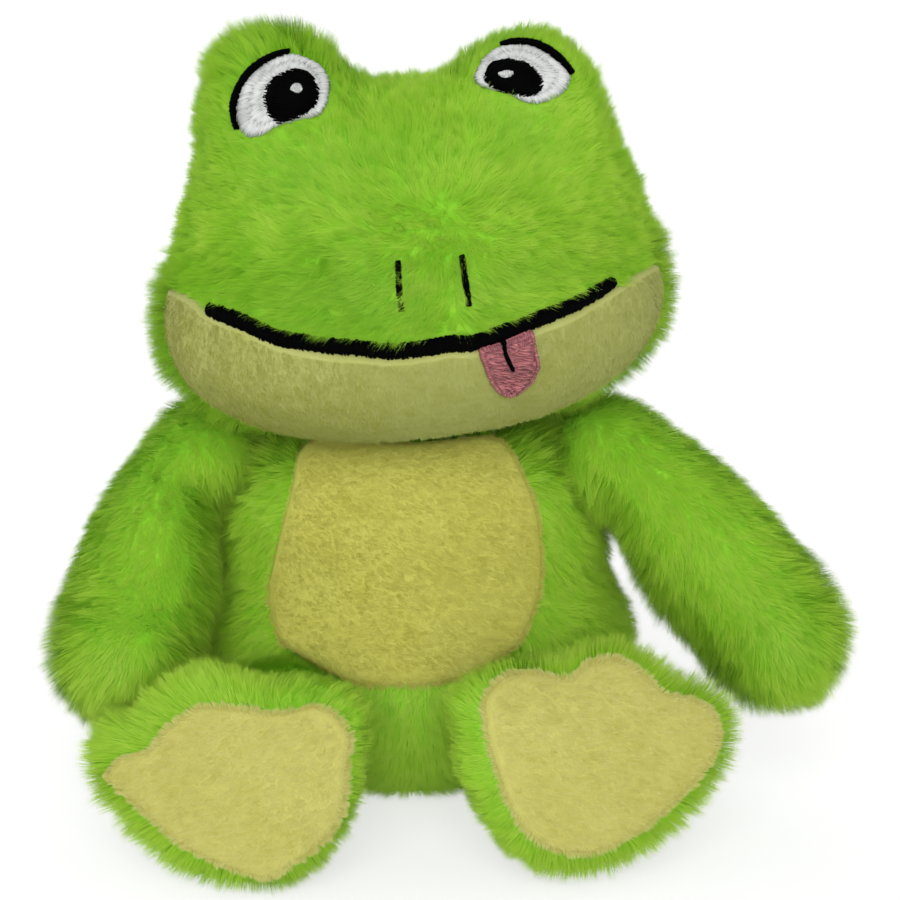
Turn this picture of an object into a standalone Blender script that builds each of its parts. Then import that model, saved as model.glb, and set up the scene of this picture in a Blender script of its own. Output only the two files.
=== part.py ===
"""Sitting plush frog: stuffed fur skins, their fillings, sewn panels, embroidery and seams.

Lengths are in metres and angles in degrees. +Z is up, the frog faces -Y, and the origin is the
middle of the flat seat under the torso. Left and right are the frog's own, so left is at +X.
"""

import math

import bmesh
import bpy
import numpy as np
from mathutils import Vector
from mathutils.bvhtree import BVHTree



def shifted(point, by):
    return tuple(a + b for a, b in zip(point, by))


# Cloth, stuffing and clearances
SKIN_WALL = 0.0016  # backing cloth of the plush with the roots of its pile
PANEL_THICKNESS = 0.0011  # short pile cloth of the chin, belly and soles
STITCH_THICKNESS = 0.0007  # satin embroidery
SEAT_GAP = 0.0004  # between a piece and the cloth that it is sewn to
PANEL_SEAT = 0.0006  # under a wide panel, whose cloth bridges the hollows of the skin
BALL_GAP = 0.0006  # round the rounded end of a limb
SEAM_THICKNESS = 0.0010  # turned-in seam allowance

# Torso: a wide belly and a narrower chest
BELLY_CENTRE = (0.0, -0.003, 0.032)
BELLY_RADII = (0.0605, 0.0500, 0.0380)
CHEST_CENTRE = (0.0, -0.002, 0.069)
CHEST_RADII = (0.0530, 0.0390, 0.0365)
TORSO_BLEND = 0.012
HEART_RISE = 0.014
TORSO_HEART = shifted(BELLY_CENTRE, (0.0, 0.0, HEART_RISE))  # the torso's surface is found from here

# Neck: the head's stuffed root, a ball sunk in the torso's top
NECK_BALL = 0.0215
NECK_SINK = 0.0045
NECK_BLEND = 0.004
NECK = shifted(CHEST_CENTRE, (0.0, 0.0, CHEST_RADII[2] - NECK_SINK))

# Head, in its own frame: x to the frog's left, y to the back, z up
HEAD_SHIFT = (0.001, -0.010, 0.040)  # from the neck
HEAD_CENTRE = shifted(NECK, HEAD_SHIFT)
HEAD_TILT = 4.5  # rolled towards the frog's right shoulder
HEAD_LOOK = 7.0  # turned to the frog's left
HEAD_PITCH = 4.0  # tipped back
SKULL_CENTRE = (0.001, 0.002, 0.006)
SKULL_RADII = (0.0600, 0.0430, 0.0375)
JAW_CENTRE = (-0.001, -0.003, -0.0150)
JAW_RADII = (0.0650, 0.0450, 0.0330)
SNOUT_CENTRE = (0.002, -0.020, -0.004)
SNOUT_RADII = (0.0420, 0.0340, 0.0240)
RIGHT_MOUND_CENTRE = (-0.0315, -0.005, 0.0370)
RIGHT_MOUND_RADII = (0.0202, 0.0220, 0.0232)
LEFT_MOUND_CENTRE = (0.0325, -0.005, 0.0320)
LEFT_MOUND_RADII = (0.0200, 0.0210, 0.0222)
HEAD_BLEND = 0.010

# Arms: from the shoulder, sunk in the chest's side, to the middle of the rounded hand
SHOULDER_SINK = 0.0018
SHOULDER_FORWARD = 0.002
SHOULDER_RISE = 0.0153
SHOULDER = shifted(CHEST_CENTRE, (CHEST_RADII[0] - SHOULDER_SINK, -SHOULDER_FORWARD, SHOULDER_RISE))
ARM_ROOT = 0.0165
ARM_HAND = 0.0180
ARM_SWELL = 0.0022
RIGHT_REACH = (-0.0193, -0.041, -0.0393)  # from the shoulder to the hand
LEFT_REACH = (0.0428, -0.027, -0.0398)
RIGHT_ARM_BOW = (-0.005, 0.002, 0.002)
LEFT_ARM_BOW = (0.003, 0.001, 0.004)

# Legs: from the hip, sunk in the belly's front, to the ankle
HIP_INSET = 0.0295  # in from the belly's side
HIP_SINK = 0.003
HIP_DROP = 0.0055
HIP = shifted(BELLY_CENTRE, (BELLY_RADII[0] - HIP_INSET, HIP_SINK - BELLY_RADII[1], -HIP_DROP))
LEG_ROOT = 0.0170
LEG_ANKLE = 0.0150
LEG_SWELL = 0.0006
LEG_REACH = (0.0075, -0.0190, 0.0010)
ANKLE = shifted(HIP, LEG_REACH)

# Feet: broad three-toed pads with their soles turned to the front
FOOT_HALF_WIDTH = 0.0380
FOOT_HALF_HEIGHT = 0.0280
FOOT_THICKNESS = 0.026
SOLE_SHIFTS = {"right": (-0.0025, -0.0225, -0.0003), "left": (0.0055, -0.0205, 0.0030)}  # from the ankle
SOLE_TURN = 14.0  # each sole turned outward
SOLE_LEAN = 15.0  # each sole leaning back
SOLE_ROLLS = {"right": -6.0, "left": 2.0}

# Pellet pouch in the seat
POUCH_RADII = (0.031, 0.026, 0.012)
POUCH_CENTRE = (BELLY_CENTRE[0], BELLY_CENTRE[1], POUCH_RADII[2])

# Closing seam at the back
THREAD_RADIUS = 0.0005

# Ranges of the joints, in degrees; the surfaces that meet are cut so that each can move so far
NOD_RANGE = (-14.0, 6.0)  # the second is forward
TURN_RANGE = (-15.0, 15.0)
SWING_RANGES = {"right": (-30.0, 4.0), "left": (-30.0, 20.0)}
LIFT_RANGES = {"right": (-1.0, 40.0), "left": (-3.0, 45.0)}
RAISE_RANGES = {"right": (-35.0, 16.0), "left": (-35.0, 25.0)}
SPLAY_RANGES = {"right": (-6.0, 4.0), "left": (-6.0, 14.0)}

RIGHT = -1
LEFT = 1
SIDES = {"right": RIGHT, "left": LEFT}


def unit(vector):
    return np.asarray(vector, float) / np.linalg.norm(vector)


def turn(axis, degrees):
    """A 3 by 3 rotation about one of the axes x, y and z."""
    c = math.cos(math.radians(degrees))
    s = math.sin(math.radians(degrees))
    return {
        "x": np.array([[1, 0, 0], [0, c, -s], [0, s, c]]),
        "y": np.array([[c, 0, s], [0, 1, 0], [-s, 0, c]]),
        "z": np.array([[c, -s, 0], [s, c, 0], [0, 0, 1]]),
    }[axis]


def mirrored(point, side):
    return np.array([side * point[0], point[1], point[2]])


# Shapes as fields: below zero inside, above zero outside, nearly a distance close to the surface


def ellipsoid(points, centre, radii):
    p = points - np.asarray(centre)
    r = np.asarray(radii)
    k = np.linalg.norm(p / r, axis=-1)
    slope = np.linalg.norm(p / r**2, axis=-1)
    return k * (k - 1) / np.maximum(slope, 1 / r.max() / 1e6)


def joined(a, b, blend):
    """The union of two fields, with a fillet about as wide as the blend."""
    h = np.clip((b - a + blend) / (2 * blend), 0, 1)
    return b * (1 - h) + a * h - blend * h * (1 - h)


def torso_field(points):
    belly = ellipsoid(points, BELLY_CENTRE, BELLY_RADII)
    chest = ellipsoid(points, CHEST_CENTRE, CHEST_RADII)
    return joined(belly, chest, TORSO_BLEND)


HEAD_FRAME = turn("z", HEAD_LOOK) @ turn("y", -HEAD_TILT) @ turn("x", -HEAD_PITCH)


def head_field(points):
    local = (points - np.asarray(HEAD_CENTRE)) @ HEAD_FRAME
    field = ellipsoid(local, SKULL_CENTRE, SKULL_RADII)
    for centre, radii in (
        (JAW_CENTRE, JAW_RADII),
        (SNOUT_CENTRE, SNOUT_RADII),
        (RIGHT_MOUND_CENTRE, RIGHT_MOUND_RADII),
        (LEFT_MOUND_CENTRE, LEFT_MOUND_RADII),
    ):
        field = joined(field, ellipsoid(local, centre, radii), HEAD_BLEND)
    neck = np.linalg.norm(points - np.asarray(NECK), axis=-1) - NECK_BALL
    return joined(field, neck, NECK_BLEND)


def halve(inside, outside, is_in):
    """Points on the way from inside to outside where is_in turns false."""
    low = np.zeros(inside.shape[:-1] + (1,))
    high = np.ones_like(low)
    for _ in range(26):
        middle = (low + high) / 2
        good = is_in(inside + (outside - inside) * middle)[..., None]
        low = np.where(good, middle, low)
        high = np.where(good, high, middle)
    return inside + (outside - inside) * low


def drawn_in(points, core, inset):
    """The points moved this far towards the core."""
    reach = np.linalg.norm(points - core, axis=-1, keepdims=True)
    return core + (points - core) * (1 - inset / reach)


def eased(points, cores):
    """The points with each step in their distance from the cores eased over its neighbours."""
    reach = np.linalg.norm(points - cores, axis=-1)
    kept = reach.copy()
    for _ in range(4):
        around = np.minimum(np.roll(kept, 1, axis=1), np.roll(kept, -1, axis=1))
        before = np.vstack([kept[:1], kept[:-1]])
        after = np.vstack([kept[1:], kept[-1:]])
        kept = np.minimum(kept, np.minimum(around, np.minimum(before, after)) + CLOTH_STEP)
    return cores + (points - cores) * (kept / reach)[..., None]


# Posed limbs: where a joint can carry a point


def poses(pivot, first_axis, first_range, second_axis, second_range):
    """Rotations about the pivot at rest and at the limits of two joints, alone and together."""
    found = []
    for first in (first_range[0], first_range[0] / 2, 0, first_range[1] / 2, first_range[1]):
        for second in (second_range[0], 0, second_range[1] / 2, second_range[1]):
            found.append((np.asarray(pivot), turn(first_axis, first) @ turn(second_axis, second)))
    return found


def trimmed(points, cores, ball, reach, moves):
    """Points drawn in towards their cores until the torso never meets them outside the ball."""

    def is_clear(at):
        clear = np.ones(at.shape[:-1], bool)
        for pivot, rotation in moves:
            moved = (at - pivot) @ rotation.T + pivot
            in_dish = np.linalg.norm(at - pivot, axis=-1) < ball
            clear &= in_dish | (torso_field(moved) > reach)
        return clear

    cores = np.broadcast_to(cores, points.shape)
    whole = is_clear(points)[..., None]
    return np.where(whole, points, halve(cores, points, is_clear))


# Meshes


def make_object(name, corners, faces, material, hidden=False):
    mesh = bpy.data.meshes.new(name)
    mesh.from_pydata([tuple(c) for c in corners], [], faces)
    shape = bmesh.new()
    shape.from_mesh(mesh)
    bmesh.ops.remove_doubles(shape, verts=shape.verts, dist=SEAT_GAP / 40)
    bmesh.ops.recalc_face_normals(shape, faces=shape.faces)
    shape.to_mesh(mesh)
    shape.free()
    mesh.shade_smooth()
    made = bpy.data.objects.new(name, mesh)
    bpy.context.scene.collection.objects.link(made)
    if hidden:
        made.hide_render = True
        made.display_type = "WIRE"
    else:
        mesh.materials.append(material)
    return made


def loft(rings, first=None, last=None, around=False):
    """Corners and faces of a skin over rings of equal count, each end closed by a pole or flat.

    A pole is a point; where neither pole nor loop is asked for, the end is one flat face.
    """
    count = len(rings[0])
    corners = [tuple(c) for ring in rings for c in ring]
    faces = []
    for k in range(len(rings) if around else len(rings) - 1):
        here = k * count
        there = (k + 1) % len(rings) * count
        for i in range(count):
            j = (i + 1) % count
            faces.append((here + i, here + j, there + j))
            faces.append((here + i, there + j, there + i))
    if around:
        return corners, faces
    for pole, start in ((first, 0), (last, (len(rings) - 1) * count)):
        if pole is None:
            faces.append(tuple(range(start, start + count)))
        else:
            corners.append(tuple(pole))
            for i in range(count):
                faces.append((start + i, start + (i + 1) % count, len(corners) - 1))
    return corners, faces


def globe(centre, radii, rings, segments, floor=None):
    """Corners and faces of an ellipsoid, cut flat at the floor where one is given."""
    centre = np.asarray(centre, float)
    radii = np.asarray(radii, float)
    layers = []
    for k in range(1, rings):
        polar = math.pi * k / rings
        around = 2 * math.pi * np.arange(segments) / segments
        ring = np.stack(
            [np.cos(around) * math.sin(polar), np.sin(around) * math.sin(polar)]
            + [np.full(segments, -math.cos(polar))],
            axis=-1,
        )
        layers.append(centre + ring * radii)
    if floor is None:
        return loft(layers, centre - radii * [0, 0, 1], centre + radii * [0, 0, 1])
    kept = [ring for ring in layers if ring[0][2] > floor]
    share = (floor - centre[2]) / radii[2]
    width = math.sqrt(max(1 - share**2, 0.05))
    base = layers[len(layers) // 2].copy()
    base[:, :2] = centre[:2] + (base[:, :2] - centre[:2]) * width
    base[:, 2] = floor
    return loft([base] + kept, None, centre + radii * [0, 0, 1])


def cut(made, *cutters):
    for cutter in cutters:
        boolean = made.modifiers.new(cutter.name, "BOOLEAN")
        boolean.operation = "DIFFERENCE"
        boolean.solver = "EXACT"
        boolean.object = cutter


def ball_cutter(name, centre, radius, rings=10, segments=16):
    corners, faces = globe(centre, (radius, radius, radius), rings, segments)
    return make_object(name, corners, faces, None, hidden=True)


def hole_cutter(name, start, end, radius, segments=10):
    """A round bar from start to end, which leaves a round hole in a skin."""
    start = np.asarray(start, float)
    end = np.asarray(end, float)
    along = unit(end - start)
    side = unit(np.cross(along, (0.3, 0.5, 0.8)))
    other = np.cross(along, side)
    around = 2 * math.pi * np.arange(segments) / segments
    ring = radius * (np.cos(around)[:, None] * side + np.sin(around)[:, None] * other)
    corners, faces = loft([start + ring, end + ring])
    return make_object(name, corners, faces, None, hidden=True)


# Materials


def make_material(name, colour, roughness):
    material = bpy.data.materials.new(name)
    material.use_nodes = True
    shader = material.node_tree.nodes["Principled BSDF"]
    shader.inputs["Base Color"].default_value = (*colour, 1)
    shader.inputs["Roughness"].default_value = roughness
    shader.inputs["Metallic"].default_value = 0
    return material


for old in list(bpy.data.objects):
    bpy.data.objects.remove(old)

GREEN_PLUSH = make_material("green_plush", (0.23, 0.52, 0.035), 0.9)
CREAM_PLUSH = make_material("cream_plush", (0.42, 0.43, 0.14), 0.9)
YELLOW_PLUSH = make_material("yellow_plush", (0.50, 0.47, 0.10), 0.9)
PALE_PLUSH = make_material("pale_plush", (0.60, 0.57, 0.18), 0.9)
WHITE_THREAD = make_material("white_thread", (0.80, 0.80, 0.78), 0.4)
BLACK_THREAD = make_material("black_thread", (0.012, 0.012, 0.014), 0.4)
PINK_THREAD = make_material("pink_thread", (0.42, 0.14, 0.17), 0.45)
STUFFING = make_material("stuffing", (0.85, 0.85, 0.83), 1.0)
POUCH_CLOTH = make_material("pouch_cloth", (0.80, 0.78, 0.72), 0.9)
SEAM_CLOTH = make_material("seam_cloth", (0.20, 0.42, 0.04), 0.9)
GREEN_THREAD = make_material("green_thread", (0.16, 0.36, 0.03), 0.6)


# Torso

TORSO_SEGMENTS = 24
TORSO_RINGS = 13


def torso_rings(inset, rings, segments):
    """Rings of the torso's surface, drawn in by the inset, from the flat seat to the top."""
    heart = np.array(TORSO_HEART)
    around = 2 * math.pi * (np.arange(segments) + 0.5) / segments
    out = np.stack([np.sin(around), -np.cos(around), np.zeros(segments)], axis=-1)
    middle = np.array([heart[0], heart[1], inset])
    base = halve(
        np.broadcast_to(middle, out.shape),
        middle + out * BELLY_RADII[0],
        lambda at: torso_field(at) < -inset,
    )
    low = np.degrees(np.arctan2(base[:, 2] - heart[2], np.linalg.norm((base - heart)[:, :2], axis=1)))
    layers = [base]
    for k in range(1, rings):
        rise = np.radians(low + (90 - low) * k / rings)
        aim = out * np.cos(rise)[:, None] + np.array([0, 0, 1]) * np.sin(rise)[:, None]
        far = heart + aim * 2 * BELLY_RADII[0]
        layer = halve(
            np.broadcast_to(heart, far.shape), far, lambda at: torso_field(at) < -inset
        )
        layer[:, 2] = np.maximum(layer[:, 2], inset)
        layers.append(layer)
    top = halve(
        heart, heart + np.array([0, 0, 2 * BELLY_RADII[0]]), lambda at: torso_field(at) < -inset
    )
    return layers, top


def torso_object(name, inset, material, hidden=False):
    layers, top = torso_rings(inset, TORSO_RINGS, TORSO_SEGMENTS)
    corners, faces = loft(layers, None, top)
    return make_object(name, corners, faces, material, hidden)


def torso_shell(name, height):
    """The torso's surface, moved this far away from its heart."""
    layers, top = torso_rings(0, TORSO_RINGS, TORSO_SEGMENTS)
    heart = np.array(TORSO_HEART)
    corners, faces = loft(drawn_in(np.array(layers), heart, -height), None, drawn_in(top, heart, -height))
    return make_object(name, corners, faces, None, hidden=True)


DISH_EXTRA = SEAM_THICKNESS + 2 * BALL_GAP
neck_dish = ball_cutter("neck_dish", NECK, NECK_BALL + DISH_EXTRA, 10, 20)
dishes = [neck_dish]
for side_name, side in SIDES.items():
    dishes.append(
        ball_cutter(f"shoulder_dish_{side_name}", mirrored(SHOULDER, side), ARM_ROOT + DISH_EXTRA)
    )
    dishes.append(ball_cutter(f"hip_dish_{side_name}", mirrored(HIP, side), LEG_ROOT + DISH_EXTRA))

torso_skin = torso_object("torso_skin", 0, GREEN_PLUSH)
torso_inside = torso_object("torso_inside", SKIN_WALL, None, True)
cut(torso_skin, torso_inside, *dishes)

torso_filling = torso_object("torso_filling", SKIN_WALL + SEAT_GAP, STUFFING)
pocket_floor = -SKIN_WALL
pocket_corners, pocket_faces = globe(
    POUCH_CENTRE, np.array(POUCH_RADII) + SEAT_GAP, 8, 16, pocket_floor + SEAT_GAP
)
pouch_pocket = make_object("pouch_pocket", pocket_corners, pocket_faces, None, hidden=True)
cut(torso_filling, pouch_pocket, *dishes)

pouch_corners, pouch_faces = globe(POUCH_CENTRE, POUCH_RADII, 8, 16, SKIN_WALL + SEAT_GAP)
bean_bag = make_object("bean_bag", pouch_corners, pouch_faces, POUCH_CLOTH)


# Patches: cloth and embroidery that lie on a skin. An outline is a list of (across, up) angles
# seen from the middle of the head or torso: across to the frog's left, up from level.


class Ground:
    """A skin that patches are laid on, looked at from its middle."""

    def __init__(self, skin, shell, middle, frame):
        mesh = skin.data
        self.name = skin.name
        self.tree = BVHTree.FromPolygons(
            [v.co[:] for v in mesh.vertices], [p.vertices[:] for p in mesh.polygons]
        )
        self.shell = shell
        self.shells = {}
        self.middle = np.asarray(middle, float)
        self.frame = frame

    def aim(self, angles):
        across, up = np.radians(np.asarray(angles, float)).T
        aim = np.stack([np.sin(across) * np.cos(up), -np.cos(across) * np.cos(up), np.sin(up)], -1)
        return aim @ self.frame.T

    def at(self, angles, height):
        """The points this high above the skin, in the directions that the angles give."""
        aim = self.aim(angles)
        hits = [self.tree.ray_cast(Vector(self.middle), Vector(way))[0][:] for way in aim]
        return np.array(hits) + aim * height

    def lifted(self, height):
        """The skin's outer surface this much further out, as a cutter."""
        if height not in self.shells:
            name = f"{self.name}_shell_{len(self.shells)}"
            self.shells[height] = self.shell(name, height)
        return self.shells[height]

    def keep_layer(self, wedge, low, thickness):
        """Leave of a wedge only what lies between two heights above the skin."""
        top = wedge.modifiers.new("top", "BOOLEAN")
        top.operation = "INTERSECT"
        top.solver = "EXACT"
        top.object = self.lifted(low + thickness)
        cut(wedge, self.lifted(low))


WEDGE_NEAR = 0.018  # inside every skin that has patches, measured from its middle
WEDGE_FAR = 0.130  # outside it


def disc_patch(name, ground, outline, shares, low, thickness, material, centre=None):
    """A patch whose outline can be seen whole from its centre."""
    outline = np.asarray(outline, float)
    centre = outline.mean(axis=0) if centre is None else np.asarray(centre, float)
    rings = [ground.aim(centre + (outline - centre) * share) for share in shares]
    pole = ground.aim([centre])[0]
    near = [ground.middle + ring * WEDGE_NEAR for ring in rings]
    far = [ground.middle + ring * WEDGE_FAR for ring in reversed(rings)]
    corners, faces = loft(
        near + far, ground.middle + pole * WEDGE_NEAR, ground.middle + pole * WEDGE_FAR
    )
    ground.keep_layer(make_object(name, corners, faces, material), low, thickness)


def strip_patch(name, ground, upper, lower, rows, low, thickness, material):
    """A patch between two lines with the same number of points."""
    upper = np.asarray(upper, float)
    lower = np.asarray(lower, float)
    lines = [ground.aim(upper + (lower - upper) * k / rows) for k in range(rows + 1)]
    slices = []
    for i in range(len(upper)):
        near = [ground.middle + line[i] * WEDGE_NEAR for line in lines]
        far = [ground.middle + line[i] * WEDGE_FAR for line in reversed(lines)]
        slices.append(near + far)
    corners, faces = loft(slices)
    ground.keep_layer(make_object(name, corners, faces, material), low, thickness)


def smooth_line(points, count, closed=False):
    """A round curve through the points, read at evenly spread places."""
    points = np.asarray(points, float)
    if closed:
        points = np.vstack([points[-1:], points, points[:2]])
    else:
        points = np.vstack([2 * points[:1] - points[1:2], points, 2 * points[-1:] - points[-2:-1]])
    spans = len(points) - 3
    found = []
    for t in np.linspace(0, spans, count + (1 if closed else 0))[: count if closed else None]:
        k = min(int(t), spans - 1)
        u = t - k
        a, b, c, d = points[k : k + 4]
        found.append(
            ((2 * b) + (c - a) * u + (2 * a - 5 * b + 4 * c - d) * u**2 + (3 * b - a - 3 * c + d) * u**3)
            / 2
        )
    return np.array(found)


def widened(line, shares, half_width):
    """Two lines on either side of a line of angles, half_width degrees away at full share."""
    line = np.asarray(line, float)
    along = np.gradient(line, axis=0)
    along /= np.linalg.norm(along, axis=1, keepdims=True)
    aside = np.stack([-along[:, 1], along[:, 0]], -1)
    offset = aside * np.asarray(shares)[:, None] * half_width
    return line + offset, line - offset


# Head

HEAD_SEGMENTS = 28
HEAD_RINGS = 19
NECK_RIM_ANGLE = 12.0  # where the rings round the neck axis begin
RING_CROWDING = 1.15  # rings lie closer together towards the neck

# The chin's panel and the belly's both pass between the head and the torso
CHIN_REACH = 2 * (PANEL_SEAT + PANEL_THICKNESS) + BALL_GAP
neck_moves = [
    (np.asarray(NECK), turn("z", way) @ turn("x", nod))
    for way in (TURN_RANGE[0], 0, TURN_RANGE[1])
    for nod in (NOD_RANGE[0], NOD_RANGE[0] / 2, 0, NOD_RANGE[1] / 2, NOD_RANGE[1])
]


def head_rings(inset, rings, segments):
    """Rings of the head's surface, drawn in by the inset, from the neck's end to the crown."""
    middle = np.asarray(HEAD_CENTRE)
    down = unit(np.asarray(NECK) - middle)
    front = unit(np.array([0, -1, 0]) - down * -down[1])
    aside = np.cross(down, front)
    around = 2 * math.pi * (np.arange(segments) + 0.5) / segments
    layers = []
    for k in range(rings + 1):
        share = (k / (rings + 1)) ** RING_CROWDING
        polar = math.radians(NECK_RIM_ANGLE + (180 - NECK_RIM_ANGLE) * share)
        aim = math.cos(polar) * down + math.sin(polar) * (
            np.cos(around)[:, None] * front + np.sin(around)[:, None] * aside
        )
        far = middle + aim * 3 * NECK_BALL * 2
        layer = halve(np.broadcast_to(middle, far.shape), far, lambda at: head_field(at) < 0)
        cloth = trimmed(layer, middle, NECK_BALL + SEAT_GAP / 4, CHIN_REACH, neck_moves)
        layers.append(drawn_in(cloth, middle, inset))
    poles = []
    for way in (down, -down):
        pole = halve(middle, middle + way * 6 * NECK_BALL, lambda at: head_field(at) < 0)
        poles.append(drawn_in(pole, middle, inset))
    return layers, poles


def head_object(name, inset, material, hidden=False):
    layers, poles = head_rings(inset, HEAD_RINGS, HEAD_SEGMENTS)
    corners, faces = loft(layers, *poles)
    return make_object(name, corners, faces, material, hidden)


def head_shell(name, height):
    """The head's surface, moved this far away from its middle."""
    return head_object(name, -height, None, True)


head_skin = head_object("head_skin", 0, GREEN_PLUSH)
head_inside = head_object("head_inside", SKIN_WALL, None, True)
head_down = unit(np.asarray(NECK) - np.asarray(HEAD_CENTRE))
neck_opening = hole_cutter(
    "neck_opening", np.asarray(NECK), np.asarray(NECK) + head_down * NECK_BALL * 1.2, NECK_BALL * 0.6
)
cut(head_skin, head_inside, neck_opening)
head_filling = head_object("head_filling", SKIN_WALL + SEAT_GAP, STUFFING)


# Limbs: a rounded root on its joint, a tube that swells and tapers, and a rounded end


def limb_rings(root, end, bow, root_radius, end_radius, swell, cap, tube, segments):
    """Rings, the points in the limb's middle that each belongs to, and the two poles."""
    root = np.asarray(root, float)
    end = np.asarray(end, float)
    knee = (root + end) / 2 + np.asarray(bow)
    layers = []
    cores = []

    def ring(centre, along, radius):
        side = unit(np.cross(along, (1.0, 0.25, 0.1)))
        other = np.cross(along, side)
        around = 2 * math.pi * (np.arange(segments) + 0.5) / segments
        return centre + radius * (
            np.cos(around)[:, None] * side + np.sin(around)[:, None] * other
        )

    start_way = unit(knee - root)
    end_way = unit(end - knee)
    for k in range(1, cap + 1):
        polar = math.pi / 2 * k / (cap + 1)
        back = root_radius * math.cos(polar)
        layers.append(ring(root - start_way * back, start_way, root_radius * math.sin(polar)))
        cores.append(root)
    for k in range(tube + 1):
        s = k / tube
        centre = root * (1 - s) ** 2 + 2 * knee * s * (1 - s) + end * s**2
        way = unit((knee - root) * (1 - s) + (end - knee) * s)
        radius = root_radius * (1 - s) + end_radius * s + swell * math.sin(math.pi * s)
        layers.append(ring(centre, way, radius))
        cores.append(centre)
    for k in range(1, cap + 1):
        polar = math.pi / 2 * k / (cap + 1)
        ahead = end_radius * math.sin(polar)
        layers.append(ring(end + end_way * ahead, end_way, end_radius * math.cos(polar)))
        cores.append(end)
    poles = ((root - start_way * root_radius, root), (end + end_way * end_radius, end))
    return layers, cores, poles


CLOTH_STEP = 0.0030  # the most that pressed-in cloth rises from one corner to the next
LIMB_REACH = PANEL_SEAT + PANEL_THICKNESS + BALL_GAP  # room for the belly's panel


def limb_object(name, inset, material, hidden, moves, shape, counts):
    layers, cores, poles = limb_rings(*shape, *counts)
    root_radius = shape[3]
    whole = np.array(layers)
    cores = np.array(cores)[:, None, :]
    cloth = trimmed(whole, cores, root_radius + SEAT_GAP / 4, LIMB_REACH, moves)
    drawn = drawn_in(eased(cloth, cores), cores, inset)
    corners, faces = loft(drawn, *[drawn_in(pole, core, inset) for pole, core in poles])
    return make_object(name, corners, faces, material, hidden)


SEAM_ANGLES = (34.0, 43.0, 52.0)  # the band's place, measured from the middle of its seat


def seam_band(name, pivot, inward, ball, segments=16):
    """The turned-in seam allowance: a band of a ball's shell between the limb and its seat."""
    inward = unit(inward)
    side = unit(np.cross(inward, (0.2, 0.5, 0.9)))
    other = np.cross(inward, side)
    around = 2 * math.pi * np.arange(segments) / segments
    layers = []
    inner = ball + BALL_GAP
    outer = inner + SEAM_THICKNESS
    path = [(inner, a) for a in SEAM_ANGLES] + [(outer, a) for a in reversed(SEAM_ANGLES)]
    for radius, angle in path:
        c = math.cos(math.radians(angle))
        s = math.sin(math.radians(angle))
        layers.append(
            np.asarray(pivot)
            + radius * c * inward
            + radius * s * (np.cos(around)[:, None] * side + np.sin(around)[:, None] * other)
        )
    corners, faces = loft(layers, around=True)
    return make_object(name, corners, faces, SEAM_CLOTH)


seam_band("neck_seam", NECK, (0, 0, -1), NECK_BALL, 20)

ARMHOLE_DROP_SHARE = -0.15  # how far the armhole faces down, as a share of how far it faces in
ARM_COUNTS = (3, 8, 14)  # rings in each rounded end, rings along the tube, corners in a ring
LEG_COUNTS = (2, 3, 14)
arm_ends = {
    "right": (RIGHT_REACH, RIGHT_ARM_BOW),
    "left": (LEFT_REACH, LEFT_ARM_BOW),
}
for side_name, side in SIDES.items():
    shoulder = mirrored(SHOULDER, side)
    arm_reach, bow = arm_ends[side_name]
    shape = (shoulder, shoulder + arm_reach, bow, ARM_ROOT, ARM_HAND, ARM_SWELL)
    lifts = [-side * angle for angle in LIFT_RANGES[side_name]]
    moves = poses(shoulder, "x", SWING_RANGES[side_name], "y", lifts)
    skin = limb_object(f"arm_skin_{side_name}", 0, GREEN_PLUSH, False, moves, shape, ARM_COUNTS)
    inside = limb_object(f"arm_inside_{side_name}", SKIN_WALL, None, True, moves, shape, ARM_COUNTS)
    inward = unit(np.array([-side, 0, ARMHOLE_DROP_SHARE]))
    armhole = hole_cutter(
        f"armhole_{side_name}", shoulder, shoulder + inward * ARM_ROOT * 1.3, ARM_ROOT * 0.5
    )
    cut(skin, inside, armhole)
    limb_object(
        f"arm_filling_{side_name}", SKIN_WALL + SEAT_GAP, STUFFING, False, moves, shape, ARM_COUNTS
    )
    seam_band(f"shoulder_seam_{side_name}", shoulder, inward, ARM_ROOT)


# Feet: the outline is in shares of the foot's half width and half height, the big toe at the
# inner side first, and the depths and scales run from the sole to the back of the foot

TOE_OUTLINE_SHARES = (
    (-0.80, 0.30),
    (-0.83, 0.62),
    (-0.62, 0.86),
    (-0.34, 0.90),
    (-0.10, 0.86),
    (0.08, 0.97),
    (0.30, 1.00),
    (0.50, 0.86),
    (0.66, 0.64),
    (0.90, 0.56),
    (1.02, 0.34),
    (0.98, 0.04),
    (0.80, -0.30),
    (0.56, -0.62),
    (0.24, -0.86),
    (-0.10, -0.93),
    (-0.38, -0.82),
    (-0.60, -0.50),
    (-0.72, -0.20),
    (-0.78, 0.06),
)
FOOT_PROFILE_SHARES = (
    (0.03, 0.34),
    (0.08, 0.64),
    (0.17, 0.86),
    (0.32, 0.975),
    (0.50, 1.0),
    (0.68, 0.95),
    (0.85, 0.79),
    (0.96, 0.50),
)
SOLE_SHARES = (0.36, 0.62, 0.84)
FOOT_SEGMENTS = 22


def foot_frame(side_name, side):
    """The middle of the sole, and the ways to the outer side, up the sole and out of it."""
    centre = mirrored(ANKLE, side) + np.asarray(SOLE_SHIFTS[side_name])
    roll = turn("y", SOLE_ROLLS[side_name])
    rotation = turn("z", side * SOLE_TURN) @ turn("x", -SOLE_LEAN) @ roll
    outer = rotation @ np.array([side, 0, 0])
    up = rotation @ np.array([0, 0, 1])
    out = rotation @ np.array([0, -1, 0])
    return centre, outer, up, out


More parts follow.
